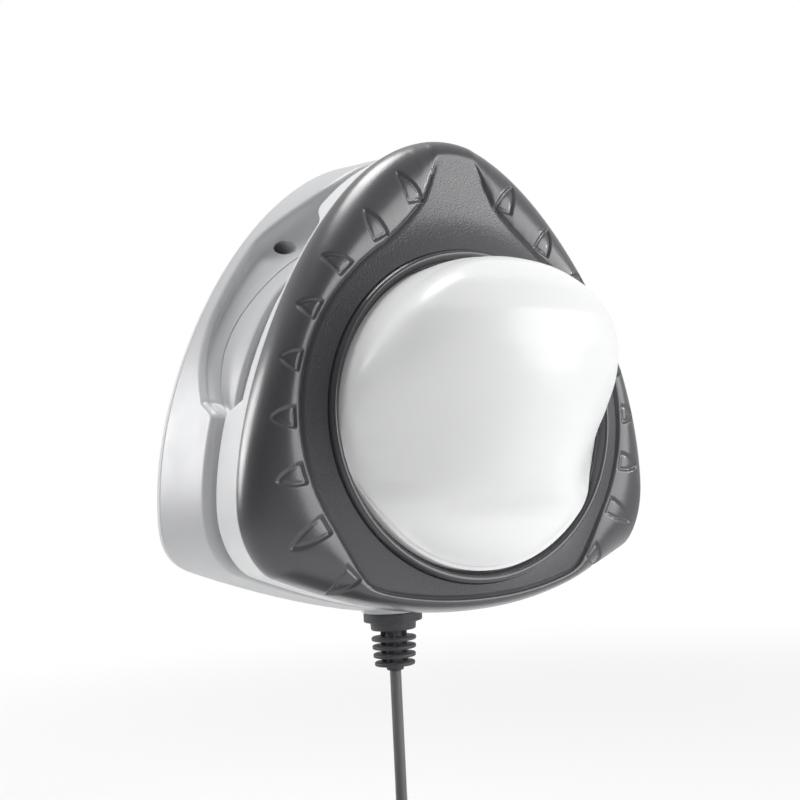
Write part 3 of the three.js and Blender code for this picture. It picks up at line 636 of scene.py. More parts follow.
def make_adapter_pins():
    """Two round pins with sleeved roots and rounded tips, joined as one piece."""
    shapes = []
    for side in ("left", "right"):
        low, high = box_mm(f"adapter_pin_{side}")
        x, _, z = (low + high) / 2
        radius = (high[0] - low[0]) / 2
        profile = [
            (0, low[1]), (radius, low[1]), (radius, low[1] + 9), (radius - 0.25, low[1] + 9.3),
            (radius - 0.25, high[1] - 1.5), (radius * 0.6, high[1] - 0.3), (0, high[1]),
        ]
        points, faces = skinned(turned(filleted(profile, 0.6, 3), 32))
        shapes.append((points + np.array([x, 0, z]), faces))
    pins = add_mesh("adapter_pins", merged(*shapes))
    finished(pins, "plated_metal", "wall_unit", "adapter_pin_left", "adapter_pin_right")
    return pins


GUARD_NARROW = 0.68  # its cord end's width, as a share of its case end's
GUARD_GROOVES = (2, 4.6, 7.2)  # where they start
GUARD_TAPER_END = 10


def make_adapter_relief():
    """The bend guard where the cord meets the transformer, with grooves round it."""
    low, high = box_mm("adapter_relief")
    wide = (high[2] - low[2]) / 2
    narrow = wide * GUARD_NARROW
    profile = [(0, 0), (narrow, 0)]
    for start in GUARD_GROOVES:
        radius = mix(narrow, wide, start / GUARD_TAPER_END)
        profile += [(radius, start), (radius - 1, start + 0.2)]
        profile += [(radius - 1, start + 1), (radius + 0.3, start + 1.2)]
    profile += [(wide, GUARD_TAPER_END), (wide, high[0] - low[0]), (0, high[0] - low[0])]
    shape = skinned(turned(filleted(profile, 0.35, 3), 48, "x"))
    _, y, z = (low + high) / 2
    guard = add_mesh("adapter_guard", shape, (low[0], y, z))
    finished(guard, "relief_rubber", "wall_unit", "adapter_relief")
    return guard


RELIEF_STEM = 10.2  # the part inside the unit; drops below are from where it comes out
RELIEF_RIBS = ((13.4, 12.2), (17.9, 11.9), (22.4, 11.6), (26.9, 11.0))  # drop, radius
RIB_THICKNESS = 2.0
RELIEF_CORE = 4.7
WEB_START = 1.6
WEB_REACH = 7.2
WEB_WIDTH = 2.6
WEB_LAP = 0.3  # how far a web runs into the ribs
WEB_FACING = math.radians(57)


def make_strain_relief():
    """Flanges, then ribs standing on a thin sleeve with four webs between them."""
    low, high = box_mm("strain_relief")
    x, y, _ = (low + high) / 2
    top = high[2] - RELIEF_STEM
    flange = (high[0] - low[0]) / 2
    neck = 7.6
    profile = [
        (0, RELIEF_STEM), (9.5, RELIEF_STEM), (9.5, 7.2), (neck, 7.2), (neck, 0), (flange, 0),
        (flange, -5), (12.6, -5), (12.2, -9.6), (RELIEF_CORE, -9.6),
    ]
    for drop, radius in RELIEF_RIBS:
        under = drop + RIB_THICKNESS
        profile += [(RELIEF_CORE, -drop), (radius, -drop), (radius, -under), (RELIEF_CORE, -under)]
    profile += [(RELIEF_CORE, low[2] - top), (0, low[2] - top)]
    shapes = [skinned(turned(filleted(profile, 0.7, 4), 80, "z"))]
    web = rounded_rectangle(WEB_REACH - WEB_START, WEB_WIDTH, 0.8, 3)
    starts = [9.6, *(drop + RIB_THICKNESS for drop, _ in RELIEF_RIBS)]
    for start, (end, _) in zip(starts, RELIEF_RIBS):
        for k in range(4):
            angle = WEB_FACING + k * math.pi / 2
            line = np.stack(rotated(web[:, 0] + (WEB_REACH + WEB_START) / 2, web[:, 1], angle), 1)
            ends = [WEB_LAP - start, -end - WEB_LAP]
            shapes.append(skinned([np.column_stack([line, np.full(len(line), z)]) for z in ends]))
    relief = add_mesh("relief", merged(*shapes), (x, y, top))
    finished(relief, "relief_rubber", "wall_unit", "strain_relief")
    return relief


# ---- Outlines --------------------
# Right halves of the rounded triangles seen from the front: three cubic curves, top to bottom.
LAMP_OUTLINE = {
    "top": 139.3, "bottom": -94.1, "half_width": 115.4, "widest_z": -37.5, "top_pull": 62.1,
    "side_pull": 60.5, "corner": (100.2, -70.3), "corner_slope": 0.4, "pull_in": 17.7,
    "pull_out": 7.1, "bottom_in": 40.3, "bottom_out": 37.1,
}
WALL_OUTLINE = {
    "top": 147.6, "bottom": -99.0, "half_width": 126.5, "widest_z": -37.7, "top_pull": 65.4,
    "side_pull": 77.9, "corner": (111.8, -69.0), "corner_slope": 0.4, "pull_in": 15.6,
    "pull_out": 14.0, "bottom_in": 31.9, "bottom_out": 30.0,
}


def outline(shape, half_count):
    """A closed outline as (x, z) rows, clockwise from the top centre."""
    corner = np.array(shape["corner"])
    along = np.array([math.cos(shape["corner_slope"]), math.sin(shape["corner_slope"])])
    wide, level, top, bottom = (shape[key] for key in ("half_width", "widest_z", "top", "bottom"))
    side_pull = (wide, level + shape["side_pull"])
    side = bezier((0, top), (shape["top_pull"], top), side_pull, (wide, level), 400)
    corner_pull = corner + along * shape["pull_out"]
    turn = bezier((wide, level), (wide, level - shape["pull_in"]), corner_pull, corner, 200)
    base_pull = corner - along * shape["bottom_in"]
    base = bezier(corner, base_pull, (shape["bottom_out"], bottom), (0, bottom), 200)
    right = evenly(np.concatenate([side, turn[1:], base[1:]]), half_count + 1)
    left = right[1:-1][::-1] * np.array([-1, 1])
    return np.concatenate([right, left])


def inset(points, distance):
    """An outline moved inwards by the same distance everywhere."""
    along = np.roll(points, -1, 0) - np.roll(points, 1, 0)
    along /= np.linalg.norm(along, axis=1)[:, None]
    return points + np.stack([along[:, 1], -along[:, 0]], 1) * distance


def scaled_to(points, radius):
    return points / np.linalg.norm(points, axis=1)[:, None] * np.reshape(radius, (-1, 1))


def shrink(points, distance):
    return scaled_to(points, np.linalg.norm(points, axis=1) - distance)


def at_depth(points, y):
    """(x, z) rows as points, at one depth or each at its own."""
    return np.stack([points[:, 0], np.broadcast_to(y, len(points)), points[:, 1]], 1)


def angle_of(points):
    """Degrees above the horizontal, the same on both sides."""
    return np.degrees(np.arctan2(points[:, 1], np.abs(points[:, 0])))


# ---- Lamp: front cover --------------------
COVER_FACETS = 540  # in half the outline
COVER_EDGE_Y = -32.0
CREASE_R = 91.0
# Towards the top the crease swings out to the edge: its angle and its distance from the lens centre.
CREASE_TOP = ((0, 91), (45, 91), (61.1, 92.6), (67.7, 95.7), (72.2, 99), (76.2, 103.2), (79.5, 108.3),
              (82, 115.4), (83.8, 122.7), (85.2, 131), (86.1, 139))
CREASE_RIM = 8.0  # the least that is left between the crease and the edge
CREASE_TOP_RIM = 11.0
CREASE_BOTTOM_ANGLE = -30
CREASE_FADE = (86.5, 82.5)  # the groove fades out between these angles
BUMPER_STEPS = 58
SURROUND_STEPS = 18
CREASE_DEPTH = 0.7
CREASE_WIDTH = 0.7
CARVING_EDGE = 6  # rings from the outer edge over which the carving sets in
GRAIN_OUTSIDE = 0.2  # the grain's strength on the bumper, where the surround has 1
# The bumper's section goes past its crown before the crease, but at the top it runs on into it.
CROWN_TURN = math.radians(108)
CROWN_TURN_TOP = math.radians(90)
WALL = 2.5
RING_CLEARANCE = 0.5
SURROUND_Y = -54.0
SURROUND_FALL = 8.5
SURROUND_REACH = 14.0

LEAF_FIRST_ANGLE = 76.2
LEAF_STEP = 15.2
# How far each leaf's tip stands out from its inner edge and how far it leans up, top to bottom.
LEAF_REACH = ((17, -5), (16, 0), (12.5, -2.5), (9.5, -1), (9, 0), (11.5, 0), (14, 0), (20, 0), (14, 0))
LEAF_HALF_WIDTH = 5.4
LEAF_BLUNTNESS = 2.0
LEAF_POINT = 0.58
LEAF_CURL = 1.5
LEAF_GAP = 2.4  # between the crease and a leaf's inner edge
LEAF_DEPTH = 0.85
LEAF_LINE = 0.35  # how much deeper the line round a leaf is than its floor
LEAF_EDGE = 1.3
LEAF_LINE_WIDTH = 0.8


def crease_radius(outline_points):
    """How far the crease is from the lens centre in the direction of each corner of the outline."""
    angle = angle_of(outline_points)
    edge = np.linalg.norm(outline_points, axis=1)
    bend = np.clip(CREASE_BOTTOM_ANGLE - angle, 0, 60)
    low = CREASE_R / np.cos(np.radians(bend))
    angles, reach = np.array(CREASE_TOP).T
    high = np.interp(angle, angles, reach)
    rim = mix(CREASE_RIM, CREASE_TOP_RIM, smooth(60, 85, angle))
    return soft_min(np.where(angle > 0, high, low), edge - rim, 40)


def leaf_depth(points, crease):
    """How deep the leaf marks outside the crease are at each (x, z) row, in millimetres."""
    right = crease[:len(crease) // 2 + 1][::-1]
    crease_angles, crease_reach = angle_of(right), np.linalg.norm(right, axis=1)
    sides = np.stack([np.abs(points[:, 0]), points[:, 1]], 1)
    depth = np.zeros(len(points))
    for k, (reach, lean) in enumerate(LEAF_REACH):
        angle = math.radians(LEAF_FIRST_ANGLE - LEAF_STEP * k)
        out = np.array([math.cos(angle), math.sin(angle)])
        across = np.array([-math.sin(angle), math.cos(angle)])
        start = np.interp(math.degrees(angle), crease_angles, crease_reach) + LEAF_GAP
        u = sides @ out - start
        share = np.clip(u / reach, 0, 1)
        half = LEAF_HALF_WIDTH * (1 - share ** LEAF_BLUNTNESS) ** LEAF_POINT
        v = sides @ across - lean * share ** LEAF_CURL
        slope = LEAF_HALF_WIDTH * LEAF_BLUNTNESS * share ** (LEAF_BLUNTNESS - 1) / reach
        inside = np.minimum(u, (half - np.abs(v)) / np.sqrt(1 + slope ** 2))
        inside = np.where(u > reach, -1, inside)
        floor = LEAF_DEPTH * smooth(0, LEAF_EDGE, inside)
        edge_line = LEAF_LINE * np.exp(-((inside - LEAF_EDGE) / LEAF_LINE_WIDTH) ** 2)
        depth = np.maximum(depth, floor + edge_line)
    return depth


def cover_front(edge, crease, lens):
    """The cover's outer face as rings of points, from its outer edge in to the lens opening."""
    opening = np.linalg.norm(lens[0])
    full_turn = mix(CROWN_TURN, CROWN_TURN_TOP, smooth(80, 87, angle_of(edge)))
    width_share = 1 / (1 - np.cos(full_turn))
    crown = (surround_y(crease, opening) - COVER_EDGE_Y) / np.sin(full_turn)
    rings = []
    for k in range(BUMPER_STEPS + 1):
        turn = k / BUMPER_STEPS * full_turn
        share = np.reshape(width_share * (1 - np.cos(turn)), (-1, 1))
        rings.append(at_depth(mix(edge, crease, share), COVER_EDGE_Y + crown * np.sin(turn)))
    for k in range(1, SURROUND_STEPS + 1):
        here = mix(crease, lens, k / SURROUND_STEPS)
        rings.append(at_depth(here, surround_y(here, opening)))
    return np.stack(rings)


def beyond_crease(flat, edge, crease):
    """How far each (x, z) point lies outside the crease, square to it."""
    along = unit_rows(np.roll(crease, -1, 0) - np.roll(crease, 1, 0))
    outward = unit_rows(edge)
    squareness = np.abs(outward[:, 0] * along[:, 1] - outward[:, 1] * along[:, 0])
    return (np.linalg.norm(flat, axis=2) - np.linalg.norm(crease, axis=1)) * squareness


def unit_rows(vectors):
    return vectors / np.linalg.norm(vectors, axis=-1, keepdims=True)


def grid_normals(grid):
    """Unit normals of a grid of points that closes on itself along its rows, facing the lamp's front."""
    across = np.gradient(grid, axis=0)
    along = np.roll(grid, -1, 1) - np.roll(grid, 1, 1)
    normals = unit_rows(np.cross(across, along))
    return normals * -np.sign(normals[..., 1].mean())


def surround_y(ring, opening):
    """The surround's depth at each (x, z) row: a concave sweep back from the lens opening."""
    distance = np.linalg.norm(ring, axis=1) - opening
    return SURROUND_Y + SURROUND_FALL * (1 - np.exp(-distance / SURROUND_REACH))


def make_front_cover():
    edge = outline(LAMP_OUTLINE, COVER_FACETS)
    opening = box_mm("lens_ring")[1][0] + RING_CLEARANCE
    crease, lens = scaled_to(edge, crease_radius(edge)), scaled_to(edge, np.full(len(edge), opening))
    grid = cover_front(edge, crease, lens)
    flat = grid[..., [0, 2]]
    past_crease = beyond_crease(flat, edge, crease)
    carved = leaf_depth(flat.reshape(-1, 2), crease).reshape(grid.shape[:2])
    groove = CREASE_DEPTH * smooth(*CREASE_FADE, angle_of(edge))
    carved += groove * np.exp(-(past_crease / CREASE_WIDTH) ** 2)
    carved *= smooth(0, CARVING_EDGE, np.arange(len(grid)))[:, None]
    rings = list(grid - grid_normals(grid) * carved[..., None])
    for inward, back in ((0.6, 0.3), (0.8, 1.4), (0.8, WALL)):
        rings.append(at_depth(shrink(lens, inward), SURROUND_Y + back))
    inner_edge, inner_crease = inset(edge, WALL), shrink(crease, 0.5)
    for share in (0.25, 0.5, 0.75, 1):
        here = mix(shrink(lens, 0.8), inner_crease, share)
        inner_y = WALL + surround_y(here, opening)
        rings.append(at_depth(here, inner_y))
    for turn in (1.2, 0.8, 0.4, 0):
        y = COVER_EDGE_Y + (inner_y - COVER_EDGE_Y) * math.sin(turn)
        rings.append(at_depth(mix(inner_edge, inner_crease, 1 - math.cos(turn)), y))
    rings.append(at_depth(inset(edge, 0.5), COVER_EDGE_Y))
    piece = add_mesh("cover", skinned(rings, loops=True), sharp_angle=50)
    grain = piece.data.attributes.new("grain", "FLOAT", "POINT")
    strength = np.full(len(piece.data.vertices), GRAIN_OUTSIDE, np.float32)
    strength[:past_crease.size] = mix(GRAIN_OUTSIDE, 1, smooth(0.5, -1.5, past_crease)).ravel()
    grain.data.foreach_set("value", strength)
    finished(piece, "dark_cover", "lamp_unit", "front_cover")


def make_lens_ring():
    low, high = box_mm("lens_ring")
    outer, front = high[0], low[1]
    lens = box_mm("diffuser_dome")[1][0]
    back = -51.5
    profile = [
        (lens + 0.3, back), (lens + 0.3, front + 4.6), (lens + 1.5, front + 4.4),
        (lens + 2.2, front + 0.9), (lens + 3.4, front + 0.1), (outer - 1.4, front),
        (outer - 0.2, front + 1.2), (outer, back),
    ]
    rings = turned(filleted(profile, 0.9, 6, closed=True), 256)
    finished(add_mesh("ring", skinned(rings, loops=True)), "lens_ring", "lamp_unit", "lens_ring")


# ---- Lamp: dome --------------------
# Level sections of the lens, top to bottom: z, how far the middle stands out, how far its wall does
# at the ring, and how full and how sharp-edged the section is.
DOME_SECTIONS = (
    (74, 29, 27, 2.0, 2.0),
    (66, 47, 32, 2.0, 2.0),
    (56, 55, 35, 2.0, 2.0),
    (42, 60, 29, 2.0, 2.0),
    (28, 61, 16, 2.1, 2.0),
    (15, 60, 6, 2.0, 1.8),
    (4, 58, 3, 2.1, 1.3),
    (-8, 54, 1, 2.3, 0.9),
    (-20, 48, 0, 2.3, 0.78),
    (-30, 42, 1, 2.3, 0.76),
    (-40, 33, 6, 2.3, 0.9),
    (-48, 22, 8, 2.3, 1.0),
    (-58, 8, 8, 2.3, 1.0),
    (-74, 7, 7, 2.3, 1.0),
)
DOME_FACETS = 288
DOME_STEPS = 120
DOME_COLLAR = 6  # the straight part behind the curved one
SECTION_SPREAD = 2.0  # how far up and down the sections are averaged
# The round foot that rises out of the lower part, and where it sets in.
FOOT_HEIGHT = 29.0
FOOT_FULLNESS = 2.6
FOOT_EDGE = 0.55
FOOT_Z = (-16, -44)
FOOT_BLEND = 15
# The wall that everything runs into at the ring.
SIDE_HEIGHT = 62
SIDE_WIDTH = 0.07  # share of the radius
SIDE_BLEND = 3.5


def dome_height(x, z, radius):
    levels = np.array(DOME_SECTIONS)[::-1]
    middle, wall, fullness, edge = (np.interp(z, levels[:, 0], levels[:, k]) for k in range(1, 5))
    reach = np.clip(np.hypot(x, z) / radius, 0, 1)
    half = np.sqrt(np.maximum(radius ** 2 - z ** 2, 1))
    across = np.clip(np.abs(x) / half, 0, 1)
    front = wall + (middle - wall) * (1 - across ** fullness) ** (1 / edge)
    foot = FOOT_HEIGHT * (1 - reach ** FOOT_FULLNESS) ** FOOT_EDGE * smooth(*FOOT_Z, z)
    side = SIDE_HEIGHT * np.sqrt(np.clip((1 - reach) / SIDE_WIDTH, 0, None))
    return soft_min(soft_max(front, foot, FOOT_BLEND), side, SIDE_BLEND)


def eased_height(x, z, radius):
    """The dome's height, averaged a little up and down so that the sections flow together."""
    limit = np.sqrt(np.maximum(radius ** 2 - x ** 2, 0)) * 0.9999
    total = 0
    for share, weight in ((-1, 0.25), (0, 0.5), (1, 0.25)):
        level = np.clip(z + share * SECTION_SPREAD, -limit, limit)
        total = total + weight * dome_height(x, level, radius)
    return total


def make_dome():
    high = box_mm("diffuser_dome")[1]
    base_y = high[1] - DOME_COLLAR

    def surface(radius, thinner):
        rings = []
        for k in range(DOME_STEPS):
            x, z = circle(radius * math.cos(k / DOME_STEPS * math.pi / 2), DOME_FACETS)
            rings.append(np.stack([x, base_y - np.maximum(eased_height(x, z, radius) - thinner, 0), z], 1))
        return rings

    outside = surface(high[0], 0)
    inside = surface(high[0] - WALL, WALL)[::6]
    collar, inner_collar = (at_depth(rings[0][:, [0, 2]], high[1]) for rings in (outside, inside))
    dome = add_mesh("dome", skinned([*outside[::-1], collar, inner_collar, *inside]), sharp_angle=60)
    finished(dome, "opal_dome", "lamp_unit", "diffuser_dome")


# ---- Shells --------------------
SHELL_FACETS = 420  # in half the outline
LAMP_BACK_Y = -4.0
LAMP_SCOOP_EDGE_Y = -28.0
UNIT_FRONT_Y = 1.0
UNIT_SCOOP_EDGE_Y = 30.0
BOWL_STEEPNESS = 1.7
BOWL_DIP = 4.0
BOWL_SKEW = 0.85
DISC_R = 105.0  # the line round the disc at the inner side of the recess
DISC_LINE = 0.022  # half its width, as a share of the recess
DISC_LINE_DEPTH = 0.9
PARTING_Y = 40.0
SEAM_GAP = 0.3  # half of the gap left at a seam
SCOOP_BOTTOM_Z = (4, 13)
UNIT_SCOOP_TOP_Z = (90, 128)
UNIT_SCOOP_START = 0.4  # share of its depth at its lower end
UNIT_SCOOP_FULL_Z = 60.0  # from here up it has its full depth
LAMP_SCOOP_TOP_Z = (92, 110)
PAD_R = 101.0
PAD_EDGE_INSET = 8.0
WALL_FRONT_SHARE = 0.27
REAR_CORNER_R = 28.0
REAR_CROWN = 5.0
UNIT_SCREWS = ((-63, 93), (63, 93), (-96, -56), (96, -56))
LAMP_SCREWS = ((-28, 112), (28, 112), (-92, -52), (92, -52))
WELL_R = 4.0
WELL_WALL = 2.2
UNIT_WELL_Y = 46.0
LAMP_WELL_Y = -14.0


def scoop(points, top_z):
    return smooth(*SCOOP_BOTTOM_Z, points[:, 1]) * (1 - smooth(*top_z, points[:, 1]))


def pad_outline(edge):
    held = shrink(edge, PAD_EDGE_INSET)
    reach = np.linalg.norm(held, axis=1)
    return scaled_to(held, soft_min(reach, np.full(len(held), PAD_R), 60))


def make_lamp_shell():
    edge = outline(LAMP_OUTLINE, SHELL_FACETS)
    inside = scoop(edge, LAMP_SCOOP_TOP_Z)
    edge_y = mix(LAMP_BACK_Y - 2, LAMP_SCOOP_EDGE_Y, inside)
    floor_y = mix(LAMP_BACK_Y, LAMP_SCOOP_EDGE_Y + 10, inside)
    pad = pad_outline(edge)
    seam_y = COVER_EDGE_Y + SEAM_GAP
    back = [
        at_depth(edge, edge_y - 1.6),
        at_depth(inset(edge, 0.5), edge_y),
        at_depth(inset(edge, 2.2), edge_y + 1.6),
        at_depth(mix(inset(edge, 3), pad, 0.5), floor_y),
        at_depth(shrink(pad, -1.5), LAMP_BACK_Y - 0.4 * (1 - inside) - 1.2 * inside),
        at_depth(pad, LAMP_BACK_Y),
    ]
    outside = [at_depth(inset(edge, 0.5), seam_y), at_depth(edge, seam_y + 0.5), *curve_through(back, 7)]
    inner = [
        at_depth(shrink(pad, WALL), LAMP_BACK_Y - WALL),
        at_depth(mix(inset(edge, 3 + WALL), shrink(pad, WALL), 0.5), floor_y - WALL),
        at_depth(inset(edge, WALL + 1.5), edge_y - WALL + 0.6),
        at_depth(inset(edge, WALL), seam_y),
    ]
    piece = add_mesh("lamp_shell", skinned([*inner, *outside]))
    tubes = [rod(WELL_R + WELL_WALL, LAMP_BACK_Y - 1, LAMP_WELL_Y, x, z) for x, z in LAMP_SCREWS]
    cut_or_join(piece, tubes, "UNION")
    cut_or_join(piece, [rod(WELL_R, 2, LAMP_WELL_Y + WALL, x, z) for x, z in LAMP_SCREWS], "DIFFERENCE")
    finished(piece, "white_shell", "lamp_unit", "lamp_rear_shell")


def side_of_unit(front, back, y):
    share = (y - UNIT_FRONT_Y) / (PARTING_Y - UNIT_FRONT_Y)
    return mix(front, back, np.reshape(share, (-1, 1)))


def make_unit_shell():
    back = outline(WALL_OUTLINE, SHELL_FACETS)
    front = mix(outline(LAMP_OUTLINE, SHELL_FACETS), back, WALL_FRONT_SHARE)
    below_full = np.clip((UNIT_SCOOP_FULL_Z - front[:, 1]) / (UNIT_SCOOP_FULL_Z - SCOOP_BOTTOM_Z[1]), 0, 1)
    inside = scoop(front, UNIT_SCOOP_TOP_Z) * mix(UNIT_SCOOP_START, 1, 1 - below_full ** 2)
    edge_y = mix(UNIT_FRONT_Y, UNIT_SCOOP_EDGE_Y, inside)
    edge = side_of_unit(front, back, edge_y + 5)
    pad = pad_outline(front)
    seam_y = PARTING_Y - SEAM_GAP
    halfway_y = mix(edge_y + 5, seam_y, 0.4)
    lip = inset(edge, 3.4)

    def bowl_y(share):
        """The recess's depth at a share of the way from its lip to the pad."""
        dip = BOWL_DIP * inside * np.sin(np.pi * share ** BOWL_SKEW)
        return mix(edge_y, UNIT_FRONT_Y, share ** BOWL_STEEPNESS) + dip

    def bowl(share, deeper=0.0):
        return at_depth(mix(lip, pad, share[:, None]), bowl_y(share) + deeper)

    lip_r, pad_r = (np.linalg.norm(ring, axis=1) for ring in (lip, pad))
    disc = np.clip((lip_r - DISC_R) / (lip_r - pad_r), 0.5, 0.92)
    to_disc = [
        at_depth(side_of_unit(front, back, halfway_y), halfway_y),
        at_depth(edge, edge_y + 5),
        at_depth(inset(edge, 1.1), edge_y + 1.3),
        at_depth(lip, edge_y),
        *[bowl(disc * share) for share in (0.2, 0.4, 0.7)],
        bowl(disc - DISC_LINE),
    ]
    disc_line = [bowl(disc + side * DISC_LINE / 2, DISC_LINE_DEPTH * inside) for side in (-1, 1)]
    past_disc = [
        bowl(disc + DISC_LINE),
        bowl(mix(disc, 1, 0.5)),
        at_depth(shrink(pad, -1.2), UNIT_FRONT_Y + 0.3 + 1.2 * inside),
        at_depth(pad, UNIT_FRONT_Y),
    ]
    outside = [at_depth(inset(back, 0.6), seam_y), at_depth(back, seam_y - 0.6)]
    outside += [*curve_through(to_disc, 6), *disc_line, *curve_through(past_disc, 6)]
    inner = [
        at_depth(shrink(pad, WALL), UNIT_FRONT_Y + WALL),
        *[at_depth(mix(inset(lip, WALL), shrink(pad, WALL), s), bowl_y(s) + WALL) for s in (0.6, 0.3)],
        at_depth(inset(edge, WALL + 2), edge_y + WALL + 2),
        at_depth(inset(back, WALL), seam_y),
    ]
    piece = add_mesh("unit_shell", skinned([*inner, *outside]))
    tubes = []
    for x, z in UNIT_SCREWS:
        tube = rod(WELL_R + WELL_WALL, UNIT_FRONT_Y + 1, UNIT_WELL_Y, x, z)
        if z > 0:  # the upper wells start just under the sloping recess
            skin = [ring + np.array([0, 0.7, 0]) for ring in outside]
            under_skin = [at_depth(back, UNIT_WELL_Y + 5), *skin]
            cut_or_join(tube, [add_mesh("tool", skinned(under_skin))], "INTERSECT")
        tubes.append(tube)
    cut_or_join(piece, [*tubes, cord_boss(-1)], "UNION")
    wells = [rod(WELL_R, -5, UNIT_WELL_Y - WALL, x, z) for x, z in UNIT_SCREWS]
    cut_or_join(piece, [*wells, cord_hole()], "DIFFERENCE")
    finished(piece, "grey_shell", "wall_unit", "unit_front_shell")


BOSS_R = 17.0
BOSS_HEIGHT = 6.4
BOSS_GAP = 0.3  # left above the relief's flange
CORD_HOLE_R = 7.9


def upright(radius, z0, z1, half=0):
    """A closed upright bar at the cord's place; half -1 or 1 keeps only its front or its back."""
    top = box_mm("strain_relief")[1][2] - RELIEF_STEM
    x, y = circle(radius, 64)
    if half:
        y = np.where(y * half > SEAM_GAP, y, SEAM_GAP * half)
    line = np.stack([x, y], 1)
    rings = [np.column_stack([line, np.full(len(line), z)]) for z in (z0, z1)]
    return add_mesh("tool", skinned(rings), (0, PARTING_Y, top))


def cord_boss(half):
    return upright(BOSS_R, BOSS_GAP, BOSS_GAP + BOSS_HEIGHT, half)


def cord_hole():
    return upright(CORD_HOLE_R, -20, 20)


def make_unit_cover():
    edge = outline(WALL_OUTLINE, SHELL_FACETS)

    def shell(start, corner):
        rings = []
        for turn in np.linspace(0, math.pi / 2, 15):
            line = shrink(start, corner * (1 - math.cos(turn)))
            rings.append(at_depth(line, PARTING_Y + corner * math.sin(turn)))
        for share in (0.85, 0.7, 0.55, 0.4, 0.25, 0.1):
            crown_y = PARTING_Y + corner + REAR_CROWN * (1 - share ** 2)
            rings.append(at_depth(shrink(start, corner) * share, crown_y))
        return rings

    outside = shell(edge, REAR_CORNER_R)
    outside[:1] = [at_depth(inset(edge, 0.6), PARTING_Y), at_depth(edge, PARTING_Y + 0.6)]
    inner = shell(inset(edge, WALL), REAR_CORNER_R - WALL)
    piece = add_mesh("unit_cover", skinned([*inner[::-1], *outside]))
    cut_or_join(piece, [cord_boss(1)], "UNION")
    cut_or_join(piece, [cord_hole()], "DIFFERENCE")
    finished(piece, "white_cover", "wall_unit", "unit_rear_cover")


def make_pad(name, node, body, wall_share, proud_first):
    """A thin pad with rounded edges, its outer face at the low or the high side of its CAD node."""
    low, high = box_mm(node)
    wide = mix(outline(LAMP_OUTLINE, SHELL_FACETS), outline(WALL_OUTLINE, SHELL_FACETS), wall_share)
    edge = inset(pad_outline(wide), 1.5)
    face, root = (low[1], high[1]) if proud_first else (high[1], low[1])
    rings = [at_depth(edge, root)]
    for turn in np.linspace(0, math.pi / 2, 6):
        y = mix(mix(root, face, 0.3), face, math.sin(turn))
        rings.append(at_depth(inset(edge, 0.5 * (1 - math.cos(turn))), y))
    for share, sunk in ((0.97, 0), (0.93, 0.45), (0.9, 0), (0.5, 0)):  # with a groove near the edge
        rings.append(at_depth(edge * share, mix(face, root, sunk)))
    finished(add_mesh(name, skinned(rings)), "pad", body, node)


# ---- Stage --------------------
def add_area_light(name, place, size, watts):
    data = bpy.data.lights.new(name, "AREA")
    data.shape = "DISK"
    data.size = size
    data.energy = watts
    light = new_object(name, data)
    light.location = place
    look_along(light, -Vector(place))


# Name, place in metres, size and watts.
LIGHTS = (
    ("overhead", (-0.25, 0.25, 1.6), 0.8, 15),
    ("right", (1.5, -0.85, 0.55), 0.12, 3.5),
    ("left_back", (-1.4, 1.4, 0.5), 0.9, 15),
    ("front_fill", (1.1, -1.5, 0.4), 1.5, 21),
)


BACKDROP_SEEN = 1.0  # the plain backdrop as it is seen
BACKDROP_LIGHT = 0.34  # and the light that it gives the object
BACKDROP_BRIGHT_SIDE = (0.5, 0.7, 0.5)  # most of it comes from here
BACKDROP_SPREAD = 0.27  # how much more comes from there, and less from the other side
FLOOR_REACH = 9.0
FLOOR_FADE = (0.35, 1.3)  # metres from the object over which the floor turns into backdrop


def backdrop_strength(nodes, light):
    """How bright the backdrop is: white to the eye, and softer as a source of light."""
    seen = nodes.add("ShaderNodeLightPath", "Is Camera Ray")
    inputs = {"To Min": light, "To Max": BACKDROP_SEEN, "Value": seen}
    return nodes.add("ShaderNodeMapRange", "Result", inputs)


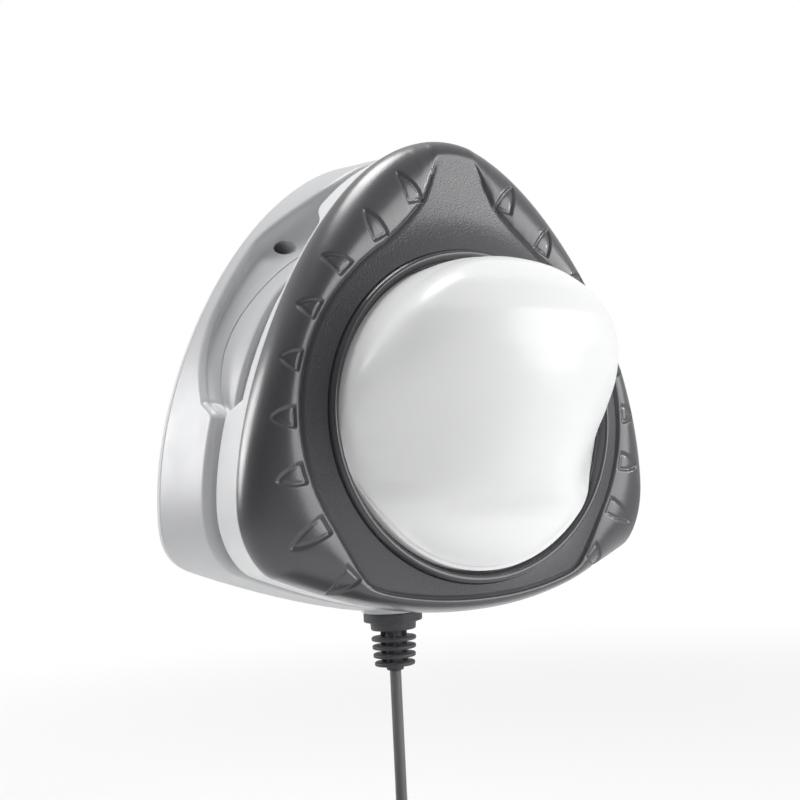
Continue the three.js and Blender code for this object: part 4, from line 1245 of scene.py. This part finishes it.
def make_floor():
    z = cad_low[2]
    corners = [(x * FLOOR_REACH, y * FLOOR_REACH, z) for x, y in ((-1, -1), (1, -1), (1, 1), (-1, 1))]
    mesh = bpy.data.meshes.new("floor")
    mesh.from_pydata(corners, [], [(0, 1, 2, 3)])
    floor = new_object("floor", mesh)
    paint = Finish("floor_paint", (0.86, 0.86, 0.86), 0.8)
    strength = backdrop_strength(paint, BACKDROP_LIGHT)
    glow = paint.add("ShaderNodeEmission", 0, {"Color": (1, 1, 1, 1), "Strength": strength})
    away = paint.add("ShaderNodeVectorMath", "Value", {0: paint.place}, operation="LENGTH")
    near, far = FLOOR_FADE
    fading = {"From Min": near, "From Max": far, "Value": away}
    fade = paint.add("ShaderNodeMapRange", "Result", fading, interpolation_type="SMOOTHSTEP")
    blend = paint.add("ShaderNodeMixShader", 0, {0: fade, 1: paint.shader.outputs[0], 2: glow})
    paint.tree.links.new(blend, paint.tree.nodes["Material Output"].inputs["Surface"])
    floor.data.materials.append(MATERIALS["floor_paint"])


def make_backdrop():
    world = bpy.data.worlds.new("studio")
    world.use_nodes = True
    sky = Nodes(world.node_tree)
    sides = {0: sky.add("ShaderNodeTexCoord", "Generated"), 1: Vector(BACKDROP_BRIGHT_SIDE).normalized()}
    light = sky.add("ShaderNodeMapRange", "Result", {
        "From Min": -1,
        "To Min": BACKDROP_LIGHT - BACKDROP_SPREAD,
        "To Max": BACKDROP_LIGHT + BACKDROP_SPREAD,
        "Value": sky.add("ShaderNodeVectorMath", "Value", sides, operation="DOT_PRODUCT"),
    })
    background = world.node_tree.nodes["Background"]
    background.inputs["Color"].default_value = (1, 1, 1, 1)
    world.node_tree.links.new(backdrop_strength(sky, light), background.inputs["Strength"])
    bpy.context.scene.world = world


def make_stage():
    make_floor()
    make_backdrop()
    for light in LIGHTS:
        add_area_light(*light)
    bpy.context.scene.view_settings.view_transform = "Standard"
    bpy.context.scene.view_settings.look = "None"


make_camera()
make_materials()
dress_cad_nodes()
make_cord([make_tie(), make_strain_relief(), make_adapter(), make_adapter_relief(), make_adapter_pins()])
make_front_cover()
make_lens_ring()
make_dome()
make_lamp_shell()
make_pad("lamp_face_pad", "lamp_pad", "lamp_unit", 0, proud_first=False)
make_unit_shell()
make_unit_cover()
make_pad("unit_face_pad", "unit_pad", "wall_unit", WALL_FRONT_SHARE, proud_first=True)
make_stage()
